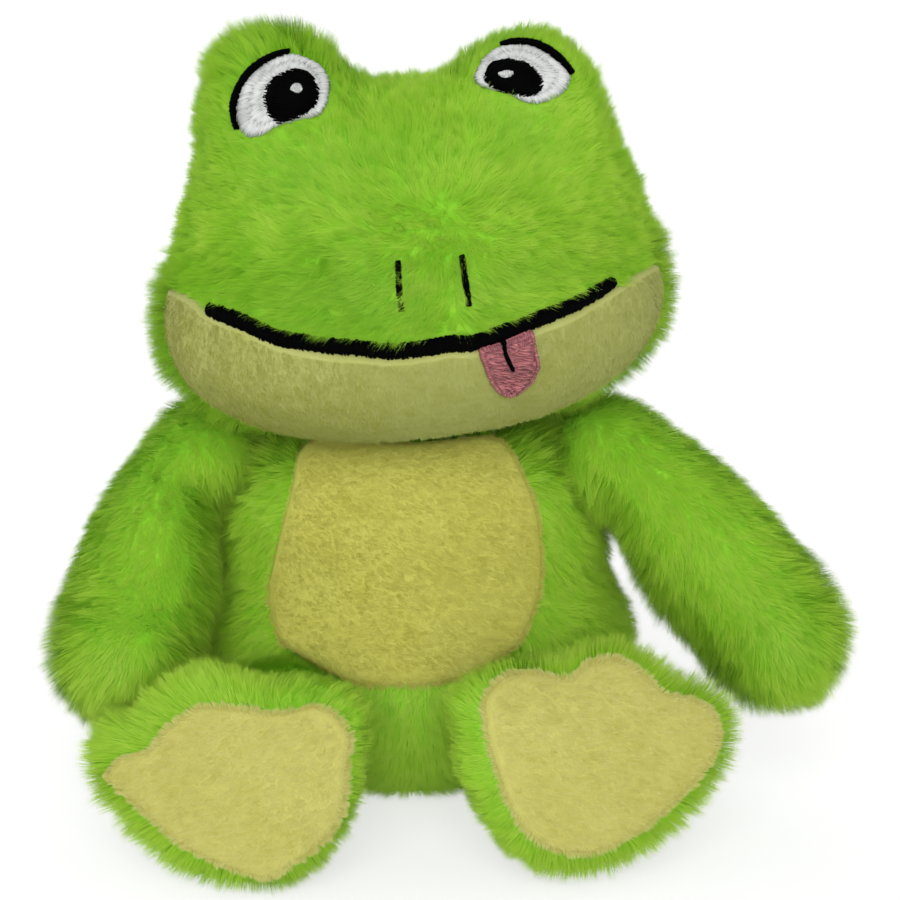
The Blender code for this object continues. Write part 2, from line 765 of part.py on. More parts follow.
def foot_ring(frame, scale, depth, inset):
    centre, outer, up, out = frame
    shares = smooth_line(TOE_OUTLINE_SHARES, FOOT_SEGMENTS, closed=True)
    flat = shares * scale * np.array([FOOT_HALF_WIDTH, FOOT_HALF_HEIGHT])
    reach = np.linalg.norm(flat, axis=1, keepdims=True)
    flat = flat * (1 - np.minimum(inset / reach, 0.9))
    ring = centre + flat[:, :1] * outer + flat[:, 1:] * up - depth * out
    ring[:, 2] = np.maximum(ring[:, 2], inset)
    return ring



def foot_object(name, frame, inset, material, hidden=False):
    centre, outer, up, out = frame
    thick = FOOT_THICKNESS - 2 * inset
    layers = [
        foot_ring(frame, scale, inset + depth * thick, inset)
        for depth, scale in FOOT_PROFILE_SHARES
    ]
    corners, faces = loft(layers, centre - inset * out, centre - (inset + thick) * out)
    return make_object(name, corners, faces, material, hidden)


def front_depth(scale):
    """How far behind the sole's middle the foot's front lies at this share of its outline."""
    scales = [0] + [s for _, s in FOOT_PROFILE_SHARES[:5]]
    depths = [0] + [d for d, _ in FOOT_PROFILE_SHARES[:5]]
    return float(np.interp(scale, scales, depths)) * FOOT_THICKNESS


def sole_object(name, frame):
    centre, outer, up, out = frame
    layers = []
    for low in (PANEL_SEAT, PANEL_SEAT + PANEL_THICKNESS):
        rings = [foot_ring(frame, s, front_depth(s) - low, 0) for s in SOLE_SHARES]
        layers += rings if low == PANEL_SEAT else rings[::-1]
    low_pole = centre + PANEL_SEAT * out
    top_pole = centre + (PANEL_SEAT + PANEL_THICKNESS) * out
    corners, faces = loft(layers, low_pole, top_pole)
    return make_object(name, corners, faces, PALE_PLUSH)


# Legs, each cut to the torso and set in the back of its foot

for side_name, side in SIDES.items():
    hip = mirrored(HIP, side)
    ankle = mirrored(ANKLE, side)
    shape = (hip, ankle, (0, 0, 0), LEG_ROOT, LEG_ANKLE, LEG_SWELL)
    spreads = [side * angle for angle in SPLAY_RANGES[side_name]]
    raises = [-angle for angle in RAISE_RANGES[side_name]]
    moves = poses(hip, "z", spreads, "x", raises)
    skin = limb_object(f"leg_skin_{side_name}", 0, GREEN_PLUSH, False, moves, shape, LEG_COUNTS)
    inside = limb_object(f"leg_inside_{side_name}", SKIN_WALL, None, True, moves, shape, LEG_COUNTS)
    way = unit(ankle - hip)
    cut(
        skin,
        inside,
        hole_cutter(f"leg_hole_{side_name}", hip, hip - way * LEG_ROOT * 1.3, LEG_ROOT * 0.5),
        hole_cutter(f"ankle_hole_{side_name}", ankle, ankle + way * LEG_ANKLE * 1.3, LEG_ANKLE * 0.6),
    )
    limb_object(
        f"leg_filling_{side_name}", SKIN_WALL + SEAT_GAP, STUFFING, False, moves, shape, LEG_COUNTS
    )
    seam_band(f"hip_seam_{side_name}", hip, -way, LEG_ROOT)

    frame = foot_frame(side_name, side)
    foot = foot_object(f"foot_skin_{side_name}", frame, 0, GREEN_PLUSH)
    foot_inside = foot_object(f"foot_inside_{side_name}", frame, SKIN_WALL, None, True)
    ankle_dish = limb_object(
        f"ankle_dish_{side_name}", -BALL_GAP, None, True, moves, shape, LEG_COUNTS
    )
    cut(foot, foot_inside, ankle_dish)
    foot_filling = foot_object(f"foot_filling_{side_name}", frame, SKIN_WALL + SEAT_GAP, STUFFING)
    cut(foot_filling, ankle_dish)
    sole_object(f"sole_{side_name}", frame)


# Chin panel and mouth. Angles run from the frog's right side to its left.

head_ground = Ground(head_skin, head_shell, HEAD_CENTRE, HEAD_FRAME)
torso_ground = Ground(torso_skin, torso_shell, TORSO_HEART, np.eye(3))

CHIN_TOP = (
    (-80, -4.0),
    (-72, -5.4),
    (-64, -7.2),
    (-50, -13.4),
    (-29, -19.4),
    (-11, -23.2),
    (3, -23.0),
    (17, -21.4),
    (34, -17.0),
    (54, -11.4),
    (66, -8.8),
    (76, -7.4),
)
CHIN_BOTTOM = (
    (-80, -8),
    (-76, -22),
    (-69, -36),
    (-56, -48),
    (-36, -54),
    (-13, -56),
    (4, -56),
    (21, -55),
    (40, -52),
    (58, -43),
    (70, -30),
    (76, -12),
)
CHIN_SEGMENTS = 34
CHIN_RINGS = 2
strip_patch(
    "chin_panel",
    head_ground,
    smooth_line(CHIN_TOP, CHIN_SEGMENTS),
    smooth_line(CHIN_BOTTOM, CHIN_SEGMENTS),
    CHIN_RINGS,
    PANEL_SEAT,
    PANEL_THICKNESS,
    CREAM_PLUSH,
)

MOUTH = (
    (-64.3, -4.3),
    (-50, -10.6),
    (-29, -16.5),
    (-11, -20.2),
    (3, -20.0),
    (17, -18.4),
    (34, -14.0),
    (54, -8.8),
)
MOUTH_HALF_WIDTH = 2.0
mouth_points = smooth_line(MOUTH, 32)
mouth_shares = 0.5 + 0.5 * np.sin(np.linspace(0, math.pi, 32)) ** 0.7
strip_patch(
    "mouth_line",
    head_ground,
    *widened(mouth_points, mouth_shares, MOUTH_HALF_WIDTH),
    1,
    SEAT_GAP,
    STITCH_THICKNESS,
    BLACK_THREAD,
)

TONGUE_OUTLINE = (
    (11.6, -20.6),
    (12.8, -26.4),
    (15.6, -32.0),
    (20.6, -37.0),
    (27.0, -39.6),
    (32.2, -37.4),
    (33.0, -32.0),
    (31.3, -26.0),
    (28.4, -20.6),
    (22.7, -19.0),
    (17.0, -19.6),
)
TONGUE_SEAT = PANEL_SEAT + PANEL_THICKNESS + SEAT_GAP
disc_patch(
    "tongue",
    head_ground,
    smooth_line(TONGUE_OUTLINE, 22, closed=True),
    (1.0,),
    TONGUE_SEAT,
    STITCH_THICKNESS,
    PINK_THREAD,
)
TONGUE_LINE = ((18.6, -20.4), (20.7, -24.6), (23.0, -29.3))
TONGUE_LINE_HALF_WIDTH = 0.7
strip_patch(
    "tongue_line",
    head_ground,
    *widened(smooth_line(TONGUE_LINE, 8), np.ones(8), TONGUE_LINE_HALF_WIDTH),
    1,
    TONGUE_SEAT + STITCH_THICKNESS + SEAT_GAP,
    STITCH_THICKNESS,
    BLACK_THREAD,
)

NOSTRILS = {
    "right": ((-8.8, 4.3), (-9.0, -1.7), (-9.0, -7.8)),
    "left": ((7.9, 4.2), (7.8, -1.8), (8.2, -8.1)),
}
NOSTRIL_HALF_WIDTH = 0.8
for side_name, line in NOSTRILS.items():
    strip_patch(
        f"nostril_{side_name}",
        head_ground,
        *widened(smooth_line(line, 8), np.ones(8), NOSTRIL_HALF_WIDTH),
        1,
        SEAT_GAP,
        STITCH_THICKNESS,
        BLACK_THREAD,
    )

# Eyes: satin white, black pupil and white glint, one over the other, under a black lid line

EYE_WHITES = {
    "right": (
        (-61.6, 37.4),
        (-60.6, 42.6),
        (-59.2, 48.6),
        (-57.4, 54.6),
        (-54.4, 60.4),
        (-49.4, 62.6),
        (-43.4, 60.6),
        (-39.6, 56.2),
        (-39.4, 51.0),
        (-44.6, 46.4),
        (-50.0, 41.4),
        (-56.6, 36.6),
    ),
    "left": (
        (48.1, 61.8),
        (55.0, 61.0),
        (59.0, 57.4),
        (62.6, 53.4),
        (63.8, 48.6),
        (63.8, 44.2),
        (61.6, 40.8),
        (57.6, 39.4),
        (53.0, 40.8),
        (49.4, 44.0),
        (45.6, 49.0),
        (44.0, 55.8),
    ),
}
PUPILS = {
    "right": (
        (-54.4, 45.6),
        (-53.6, 50.0),
        (-51.6, 54.6),
        (-47.2, 57.0),
        (-42.6, 55.0),
        (-41.4, 51.0),
        (-44.0, 46.8),
        (-47.4, 43.8),
        (-51.4, 42.4),
    ),
    "left": (
        (47.0, 57.6),
        (52.2, 58.6),
        (54.8, 55.6),
        (55.9, 51.4),
        (55.4, 47.0),
        (53.8, 44.4),
        (50.6, 44.4),
        (46.8, 47.6),
        (45.2, 52.4),
    ),
}
GLINTS = {
    "right": ((-49.4, 50.9), (-48.0, 53.2), (-45.8, 52.8), (-46.8, 50.4)),
    "left": ((48.8, 54.8), (51.3, 54.2), (51.3, 51.6), (48.9, 52.2)),
}
LIDS = {
    "right": (
        (-62.9, 38.0),
        (-62.7, 43.6),
        (-61.2, 49.4),
        (-59.4, 55.2),
        (-56.8, 61.2),
        (-51.4, 64.4),
    ),
    "left": (
        (53.6, 63.4),
        (60.0, 60.8),
        (63.4, 57.2),
        (65.6, 52.8),
        (66.0, 47.6),
        (65.4, 43.0),
    ),
}
LID_HALF_WIDTH = 1.2
PUPIL_SEAT = 2 * SEAT_GAP + STITCH_THICKNESS
GLINT_SEAT = PUPIL_SEAT + STITCH_THICKNESS + SEAT_GAP
for side_name in SIDES:
    disc_patch(
        f"eye_white_{side_name}",
        head_ground,
        smooth_line(EYE_WHITES[side_name], 22, closed=True),
        (1.0,),
        SEAT_GAP,
        STITCH_THICKNESS,
        WHITE_THREAD,
    )
    disc_patch(
        f"pupil_{side_name}",
        head_ground,
        smooth_line(PUPILS[side_name], 18, closed=True),
        (1.0,),
        PUPIL_SEAT,
        STITCH_THICKNESS,
        BLACK_THREAD,
    )
    disc_patch(
        f"eye_glint_{side_name}",
        head_ground,
        smooth_line(GLINTS[side_name], 10, closed=True),
        (1.0,),
        GLINT_SEAT,
        STITCH_THICKNESS,
        WHITE_THREAD,
    )
    lid_points = smooth_line(LIDS[side_name], 14)
    lid_shares = 0.45 + 0.55 * np.sin(np.linspace(0, math.pi, 14))
    strip_patch(
        f"lid_line_{side_name}",
        head_ground,
        *widened(lid_points, lid_shares, LID_HALF_WIDTH),
        1,
        SEAT_GAP,
        STITCH_THICKNESS,
        BLACK_THREAD,
    )

# Belly panel

BELLY_OUTLINE = (
    (-50.0, 52.0),
    (-49.0, 44.0),
    (-48.8, 34.0),
    (-51.4, 23.0),
    (-51.0, 13.6),
    (-43.0, 6.0),
    (-33.0, 1.0),
    (-23.0, -4.2),
    (-12.0, -8.6),
    (0.0, -9.6),
    (12.0, -8.6),
    (23.0, -4.2),
    (33.0, 1.0),
    (43.0, 6.0),
    (50.6, 13.6),
    (51.4, 23.0),
    (51.2, 34.0),
    (50.6, 44.0),
    (48.0, 52.0),
    (34.0, 56.6),
    (12.0, 58.4),
    (-12.0, 58.4),
    (-34.0, 56.8),
)
BELLY_MIDDLE = (0.0, 24.0)
disc_patch(
    "belly_panel",
    torso_ground,
    smooth_line(BELLY_OUTLINE, 40, closed=True),
    (0.5, 1.0),
    PANEL_SEAT,
    PANEL_THICKNESS,
    YELLOW_PLUSH,
    centre=BELLY_MIDDLE,
)

# Ladder stitch that closes the back

SEAM_LOW = -12.0
SEAM_HIGH = 24.0
SEAM_SEGMENTS = 11
SEAM_HALF_WIDTH = 2.6
stitch_ups = np.linspace(SEAM_LOW, SEAM_HIGH, 2 * SEAM_SEGMENTS)
stitch_sides = np.where((np.arange(2 * SEAM_SEGMENTS) + 1) // 2 % 2 == 0, 1, -1)
thread = torso_ground.at(
    np.stack([180 + stitch_sides * SEAM_HALF_WIDTH, stitch_ups], -1), THREAD_RADIUS + PANEL_SEAT
)
curve = bpy.data.curves.new("closing_seam", "CURVE")
curve.dimensions = "3D"
curve.bevel_depth = THREAD_RADIUS
curve.bevel_resolution = 1
curve.use_fill_caps = True
spline = curve.splines.new("POLY")
spline.points.add(len(thread) - 1)
for point, place in zip(spline.points, thread):
    point.co = (*place, 1)
curve.materials.append(GREEN_THREAD)
closing_seam = bpy.data.objects.new("closing_seam", curve)
bpy.context.scene.collection.objects.link(closing_seam)
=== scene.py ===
"""A sitting plush frog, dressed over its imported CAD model.

Lengths are in metres and angles in degrees. +Z is up and the frog faces -Y. Left and right are
the frog's own, so its left is at +X.
"""

import math

import bmesh
import bpy
import numpy as np
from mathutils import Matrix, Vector
from mathutils.bvhtree import BVHTree
from mathutils.kdtree import KDTree


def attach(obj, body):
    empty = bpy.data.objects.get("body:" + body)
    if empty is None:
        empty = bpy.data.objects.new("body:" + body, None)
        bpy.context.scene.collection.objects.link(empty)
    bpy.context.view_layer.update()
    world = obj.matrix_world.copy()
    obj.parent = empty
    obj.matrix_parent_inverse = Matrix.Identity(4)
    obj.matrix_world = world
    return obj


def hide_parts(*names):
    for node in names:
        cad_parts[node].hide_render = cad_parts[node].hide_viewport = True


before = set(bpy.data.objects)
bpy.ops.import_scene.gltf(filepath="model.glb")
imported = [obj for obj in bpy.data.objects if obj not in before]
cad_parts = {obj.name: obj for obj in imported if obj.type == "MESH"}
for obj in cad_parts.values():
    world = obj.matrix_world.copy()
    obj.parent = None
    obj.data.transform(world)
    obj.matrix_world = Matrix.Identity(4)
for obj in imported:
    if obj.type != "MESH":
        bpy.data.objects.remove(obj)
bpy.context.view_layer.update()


# Camera: straight in front of the frog and looking a little down on it, as in the photograph.

VIEW_TARGET = Vector((0.011, 0.0, 0.085))
VIEW_DISTANCE = 0.700
VIEW_ELEVATION = 15.0
SENSOR_WIDTH = 36.0
LENS = 105.84

camera = bpy.data.objects.new("camera", bpy.data.cameras.new("camera"))
bpy.context.scene.collection.objects.link(camera)
rise = math.radians(VIEW_ELEVATION)
camera.location = VIEW_TARGET + VIEW_DISTANCE * Vector((0, -math.cos(rise), math.sin(rise)))
camera.rotation_euler = (math.pi / 2 - rise, 0, 0)
camera.data.sensor_width = SENSOR_WIDTH
camera.data.lens = LENS
camera.data.clip_start = 0.01
bpy.context.scene.camera = camera
bpy.context.scene.view_settings.view_transform = "Standard"


# Studio: a wide pale floor under soft light from above and in front, with a weak lamp behind.
# The floor is lifted towards white for the camera and reflections, and keeps the frog's shadow.

FLOOR_SIZE = 12.0
FLOOR_DROP = 0.0002
FLOOR_GREY = (0.92, 0.92, 0.92, 1)
FLOOR_GLOW = 1.4
GLOW_SHARE = 0.45
WHITE = (1, 1, 1, 1)
SKY_LIGHT = 0.47
LAMPS = (
    ("key_lamp", 1.5, (58, 0, -4), 45),
    ("front_lamp", 1.5, (85, 0, 2), 50),
    ("back_lamp", 0.5, (-55, 0, 15), 50),
)


def add_math(tree, operation, *values):
    node = tree.nodes.new("ShaderNodeMath")
    node.operation = operation
    for socket, value in zip(node.inputs, values):
        if isinstance(value, (int, float)):
            socket.default_value = value
        else:
            tree.links.new(value, socket)
    return node.outputs[0]


def show_mixed(tree, share, first, second, end):
    """Leads two shaders, mixed by a share, to the tree's end."""
    blend = tree.nodes.new("ShaderNodeMixShader")
    for source, socket in zip((share, first.outputs[0], second.outputs[0]), blend.inputs):
        tree.links.new(source, socket)
    tree.links.new(blend.outputs[0], tree.nodes[end].inputs["Surface"])


half = FLOOR_SIZE / 2
rim = [(x, y, -FLOOR_DROP) for x, y in ((-half, -half), (half, -half), (half, half), (-half, half))]
floor_mesh = bpy.data.meshes.new("studio_floor")
floor_mesh.from_pydata(rim, [], [(0, 1, 2, 3)])
studio_floor = bpy.data.objects.new("studio_floor", floor_mesh)
bpy.context.scene.collection.objects.link(studio_floor)

floor_paint = bpy.data.materials.new("studio_floor")
floor_paint.use_nodes = True
tree = floor_paint.node_tree
paint = tree.nodes["Principled BSDF"]
paint.inputs["Base Color"].default_value = FLOOR_GREY
paint.inputs["Roughness"].default_value = 0.9
glow = tree.nodes.new("ShaderNodeEmission")
glow.inputs["Color"].default_value = WHITE
glow.inputs["Strength"].default_value = FLOOR_GLOW
rays = tree.nodes.new("ShaderNodeLightPath").outputs
seen = add_math(tree, "MAXIMUM", rays["Is Camera Ray"], rays["Is Glossy Ray"])
seen = add_math(tree, "MAXIMUM", seen, rays["Is Transmission Ray"])
show_mixed(tree, add_math(tree, "MULTIPLY", seen, GLOW_SHARE), paint, glow, "Material Output")
floor_mesh.materials.append(floor_paint)

world = bpy.data.worlds.new("studio")
bpy.context.scene.world = world
world.use_nodes = True
tree = world.node_tree
sky = tree.nodes["Background"]
white = tree.nodes.new("ShaderNodeBackground")
for source, strength in ((sky, SKY_LIGHT), (white, 1.0)):
    source.inputs["Color"].default_value = WHITE
    source.inputs["Strength"].default_value = strength
rays = tree.nodes.new("ShaderNodeLightPath").outputs
show_mixed(tree, rays["Is Camera Ray"], sky, white, "World Output")

for lamp_name, strength, angles, softness in LAMPS:
    lamp = bpy.data.objects.new(lamp_name, bpy.data.lights.new(lamp_name, "SUN"))
    lamp.data.energy = strength
    lamp.data.angle = math.radians(softness)
    lamp.rotation_euler = [math.radians(a) for a in angles]
    bpy.context.scene.collection.objects.link(lamp)


# Head: two halves of green plush and a short-pile chin, sewn inside out, turned and stuffed
# firmly with fibre. The cloth is found by looking in at the CAD skin from all round and easing
# its facets away, and it is drawn in where the long pile stands on it.

SIDES = {"right": -1, "left": 1}
CLOTH_DEPTH = 0.0020  # from the outside of a CAD skin to its filling
PILE_SINK = 0.0014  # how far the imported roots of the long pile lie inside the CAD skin
PATCH_SINK = 0.0002  # and under patches and embroidery
SINK_BAND = 0.0030  # over which one passes into the other
PACKED_RELIEF = ((0.00032, 90), (0.00022, 210))  # depth of the tufts, and waves a metre
HEAD_MIDDLE = np.array((0.001, -0.012, 0.141))
HEAD_TILT = 4.5
HEAD_LOOK = 7.0
HEAD_PITCH = 4.0
HEAD_REACH = 0.120
BODY_EASING = 24  # rounds of easing that take the CAD's facets away
BALL_LEVEL = 7


def unit(vectors):
    vectors = np.asarray(vectors, float)
    return vectors / np.maximum(np.linalg.norm(vectors, axis=-1, keepdims=True), 1e-12)


def turn(axis, degrees):
    c = math.cos(math.radians(degrees))
    s = math.sin(math.radians(degrees))
    return {
        "x": np.array([[1, 0, 0], [0, c, -s], [0, s, c]]),
        "y": np.array([[c, 0, s], [0, 1, 0], [-s, 0, c]]),
        "z": np.array([[c, -s, 0], [s, c, 0], [0, 0, 1]]),
    }[axis]


def round_mesh(level):
    """Corners and triangles of a finely divided ball of radius 1."""
    shape = bmesh.new()
    bmesh.ops.create_icosphere(shape, subdivisions=level, radius=1)
    corners = np.array([v.co[:] for v in shape.verts])
    faces = np.array([[v.index for v in f.verts] for f in shape.faces])
    shape.free()
    return corners, faces


def solid_of(node):
    """Corners and faces of a CAD node."""
    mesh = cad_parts[node].data
    return [v.co[:] for v in mesh.vertices], [p.vertices[:] for p in mesh.polygons]


def met_at(tree, cores, aims, reach):
    """How far from its core a surface is met along each aim, seen from outside; 0 if it isn't."""
    found = np.zeros(len(aims))
    for i, (far, back) in enumerate(zip(cores + aims * reach, -aims)):
        distance = tree.ray_cast(Vector(far), Vector(back), reach)[3]
        if distance is not None:
            found[i] = reach - distance
    return found


def eased(values, faces, times):
    """Values at the corners of a mesh, each drawn towards the mean of its neighbours."""
    pairs = np.vstack([faces[:, [0, 1]], faces[:, [1, 2]], faces[:, [2, 0]]])
    ways = np.bincount(pairs[:, 0], minlength=len(values))
    for _ in range(times):
        around = np.bincount(pairs[:, 0], values[pairs[:, 1]], len(values)) / ways
        values = (values + around) / 2
    return values


def normals_of(points, faces):
    a, b, c = points[faces[:, 0]], points[faces[:, 1]], points[faces[:, 2]]
    flat = np.cross(b - a, c - a)
    total = np.zeros_like(points)
    for column in range(3):
        np.add.at(total, faces[:, column], flat)
    return unit(total)


def plush_shape(name, cores, aims, faces, reach, easing):
    """The outside of a stuffed piece, read off the CAD skin and filling of the same name."""
    skin, filling = name.replace("cloth", "skin"), name.replace("cloth", "filling")
    trees = [BVHTree.FromPolygons(*solid_of(node)) for node in (skin, filling)]
    outer, inner = (met_at(tree, cores, aims, reach) for tree in trees)
    radii = eased(np.where(outer > inner, outer, inner + CLOTH_DEPTH), faces, easing)
    points = cores + aims * radii[:, None]
    return {
        "name": name,
        "nodes": (skin, filling),
        "points": points,
        "normals": normals_of(points, faces),
        "cores": cores,
        "aims": aims,
        "radii": radii,
        "faces": faces,
    }


def sunk(shape, depths):
    """The corners of a shape, drawn in towards their cores by these depths."""
    return shape["cores"] + shape["aims"] * (shape["radii"] - depths)[:, None]


def make_piece(name, points, faces, material, body, nodes, smooth=True):
    """A mesh that rides on a body in place of CAD nodes."""
    mesh = bpy.data.meshes.new(name)
    mesh.from_pydata(points, [], faces)
    mesh.materials.append(material)
    if smooth:
        mesh.shade_smooth()
    piece = bpy.data.objects.new(name, mesh)
    bpy.context.scene.collection.objects.link(piece)
    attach(piece, body)
    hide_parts(*nodes)
    return piece


def squeeze_of(line):
    """Scales that make a degree as long across as up, at the mean height of a line of angles."""
    return np.array([math.cos(math.radians(line[:, 1].mean())), 1])


def outside_by(outline, places, squeeze=None):
    """How far places lie outside an outline, in its own units; below zero inside it.

    Ways across are squeezed, for an outline in degrees by the cosine of its height.
    """
    squeeze = squeeze_of(outline) if squeeze is None else np.array([squeeze, 1])
    outline = outline * squeeze
    places = places * squeeze
    nearest = np.full(len(places), np.inf)
    inside = np.zeros(len(places), bool)
    for a, b in zip(outline, np.roll(outline, -1, axis=0)):
        along = b - a
        share = np.clip(((places - a) @ along) / max(along @ along, 1e-18), 0, 1)
        nearest = np.minimum(nearest, np.linalg.norm(places - a - share[:, None] * along, axis=1))
        crosses = (a[1] > places[:, 1]) != (b[1] > places[:, 1])
        height = b[1] - a[1] if b[1] != a[1] else 1e-18
        inside ^= crosses & (places[:, 0] < along[0] * (places[:, 1] - a[1]) / height + a[0])
    return np.where(inside, -nearest, nearest)


def smooth_line(points, count, closed=False):
    """A round curve through the points, read at evenly spread places."""
    points = np.asarray(points, float)
    if closed:
        points = np.vstack([points[-1:], points, points[:2]])
    else:
        points = np.vstack([2 * points[:1] - points[1:2], points, 2 * points[-1:] - points[-2:-1]])
    spans = len(points) - 3
    t = np.linspace(0, spans, count + (1 if closed else 0))[: count if closed else None]
    k = np.minimum(t.astype(int), spans - 1)
    u = (t - k)[:, None]
    a, b, c, d = (points[k + i] for i in range(4))
    rises = (2 * b, (c - a) * u, (2 * a - 5 * b + 4 * c - d) * u**2, (3 * b - a - 3 * c + d) * u**3)
    return sum(rises) / 2


def widened(line, shares, half_width):
    """The two sides of a line of angles, half_width away at full share."""
    squeeze = squeeze_of(line)
    along = unit(np.gradient(line * squeeze, axis=0))
    offset = np.stack([-along[:, 1], along[:, 0]], -1) * np.asarray(shares)[:, None] * half_width
    return line + offset / squeeze, line - offset / squeeze


def band_outline(line, shares, half_width, raised=0):
    """The outline of a band of angles, its upper side raised."""
    one, other = widened(line, shares, half_width)
    return np.vstack([one + [0, raised], other[::-1]])


class Ground:
    """A stuffed surface that patches and stitches are laid on, read by angles or flat places."""

    def __init__(self, shape, rays_at, reach):
        self.tree = BVHTree.FromPolygons(shape["points"].tolist(), shape["faces"].tolist())
        self.normals = shape["normals"]
        self.faces = shape["faces"]
        self.rays_at = rays_at
        self.reach = reach

    def at(self, places, height):
        """Points this high above the surface, and the surface's normals there."""
        starts, ways = self.rays_at(np.asarray(places, float))
        points = np.zeros((len(starts), 3))
        normals = np.zeros_like(points)
        for i, (start, way) in enumerate(zip(starts, ways)):
            hit, _, face, _ = self.tree.ray_cast(Vector(start), Vector(way), self.reach)
            points[i] = hit
            normals[i] = self.normals[self.faces[face]].mean(axis=0)
        normals = unit(normals)
        return points + normals * np.reshape(height, (-1, 1)), normals


def angles_of(away):
    """Across to the frog's left and up from level, in degrees, of ways from a middle."""
    across = np.degrees(np.arctan2(away[:, 0], -away[:, 1]))
    up = np.degrees(np.arctan2(away[:, 2], np.hypot(away[:, 0], away[:, 1])))
    return np.stack([across, up], -1)


def rays_to(middle, turned, reach):
    """Gives the rays that look in at a middle from so far out, for angles in a turned frame."""

    def rays_at(angles):
        across, up = np.radians(angles).T
        aims = np.stack([np.sin(across) * np.cos(up), -np.cos(across) * np.cos(up), np.sin(up)], -1)
        ways = aims @ turned.T
        return middle + ways * reach, -ways

    return rays_at


HEAD_FRAME = turn("z", HEAD_LOOK) @ turn("y", -HEAD_TILT) @ turn("x", -HEAD_PITCH)


def head_angles(points):
    return angles_of((points - HEAD_MIDDLE) @ HEAD_FRAME)


# Outlines on the head, in degrees across to its left and up, seen from its middle
CHIN_TOP = (
    (-82, -2.4), (-75.8, -2.6), (-68.4, -4.0), (-62, -7.0), (-52.6, -9.6), (-42.9, -14.1),
    (-31.8, -17.2), (-21.4, -18.9), (-12.4, -20.5), (-3.1, -20.2), (2.7, -19.7), (8.8, -20.4),
    (18, -17.9), (27.4, -15.8), (36.2, -14.2), (43.3, -12.2), (54, -9.6), (66, -7.6), (76, -7.2),
)
CHIN_BOTTOM = (
    (-80, -8), (-76, -22), (-69, -36), (-56, -48), (-36, -54), (-13, -56), (4, -56), (21, -55),
    (40, -52), (58, -43), (70, -30), (76, -12),
)
MOUTH = (
    (-62.9, -6.0), (-53.0, -8.7), (-43.0, -12.8), (-31.3, -15.3), (-21.0, -17.0), (-12.0, -18.6),
    (-3.0, -18.4), (2.7, -17.9), (8.8, -18.4), (15.2, -16.9), (18.0, -16.2), (27.4, -14.0),
    (36.1, -12.3), (43.3, -10.7), (52.4, -8.5),
)
MOUTH_HALF_WIDTH = 2.25
TONGUE = (
    (10.3, -19.4), (11.3, -22.8), (12.9, -27.1), (15.4, -31.3), (18.2, -34.2), (21.5, -35.9),
    (24.5, -35.7), (26.9, -33.8), (28.5, -31.3), (29.0, -28.0), (28.7, -25.3), (27.4, -22.9),
    (26.3, -20.2), (24.7, -16.1), (22.2, -16.8), (19.4, -17.5), (16.5, -18.4), (13.7, -18.9),
)
TONGUE_LINE = ((16.5, -17.4), (17.2, -20.5), (18.4, -22.9), (20.3, -25.9))
NOSTRILS = {
    "right": ((-8.8, 4.3), (-9.0, -1.7), (-9.0, -7.8)),
    "left": ((7.9, 4.2), (7.8, -1.8), (8.2, -8.1)),
}
NOSTRIL_HALF_WIDTH = 0.8
EYE_WHITES = {
    "right": (
        (-59.6, 37.6), (-60.8, 40.8), (-60.8, 44.0), (-60.2, 46.6), (-58.8, 50.1), (-57.1, 53.6),
        (-56.0, 56.0), (-54.6, 58.5), (-51.9, 60.3), (-49.0, 61.4), (-44.6, 60.4), (-41.9, 58.0),
        (-40.1, 54.3), (-39.9, 50.9), (-41.4, 47.6), (-46.4, 43.6), (-50.5, 40.9), (-53.4, 38.2),
        (-57.2, 36.7),
    ),
    "left": (
        (44.8, 59.1), (50.5, 60.8), (57.2, 61.0), (60.9, 59.6), (62.1, 57.2), (62.6, 53.6),
        (62.8, 49.9), (63.0, 46.2), (62.9, 43.2), (62.4, 41.3), (60.7, 40.4), (57.5, 39.9),
        (54.0, 40.2), (51.0, 41.2), (48.0, 43.8), (45.9, 48.3), (43.6, 52.6), (42.8, 56.3),
    ),
}
PUPILS = {
    "right": (
        (-54.0, 44.7), (-54.5, 47.4), (-53.8, 50.0), (-52.5, 52.6), (-50.6, 54.8), (-47.8, 56.1),
        (-45.1, 55.6), (-42.9, 53.6), (-42.4, 50.8), (-43.8, 46.9), (-46.5, 43.9), (-49.8, 41.9),
        (-52.4, 42.6),
    ),
    "left": (
        (46.5, 56.5), (50.2, 57.4), (53.6, 56.7), (55.2, 54.4), (55.8, 51.6), (56.0, 49.0),
        (55.9, 46.4), (54.8, 44.2), (52.9, 43.1), (51.2, 43.2), (48.4, 44.6), (46.0, 47.9),
        (44.2, 51.7), (44.4, 54.2),
    ),
}
GLINTS = {
    "right": (
        (-49.3, 49.8), (-49.1, 51.2), (-48.3, 52.1), (-47.3, 52.1), (-46.8, 50.9), (-47.7, 49.8),
    ),
    "left": (
        (48.4, 53.0), (49.9, 52.8), (50.9, 51.9), (51.0, 50.6), (49.7, 50.3), (48.3, 51.2),
    ),
}
LIDS = {
    "right": (
        (-60.4, 37.4), (-61.6, 40.8), (-61.5, 44.1), (-60.5, 48.0), (-58.7, 52.3), (-57.2, 55.5),
        (-55.8, 58.0),
    ),
    "left": (
        (62.2, 59.4), (63.6, 57.6), (63.9, 55.0), (64.0, 52.2), (64.1, 48.9), (64.2, 46.0),
        (63.9, 42.2),
    ),
}
LID_HALF_WIDTH = 0.75
TONGUE_LINE_HALF_WIDTH = 0.5
DEGREE = 0.00115  # a degree on the head's front, as a length

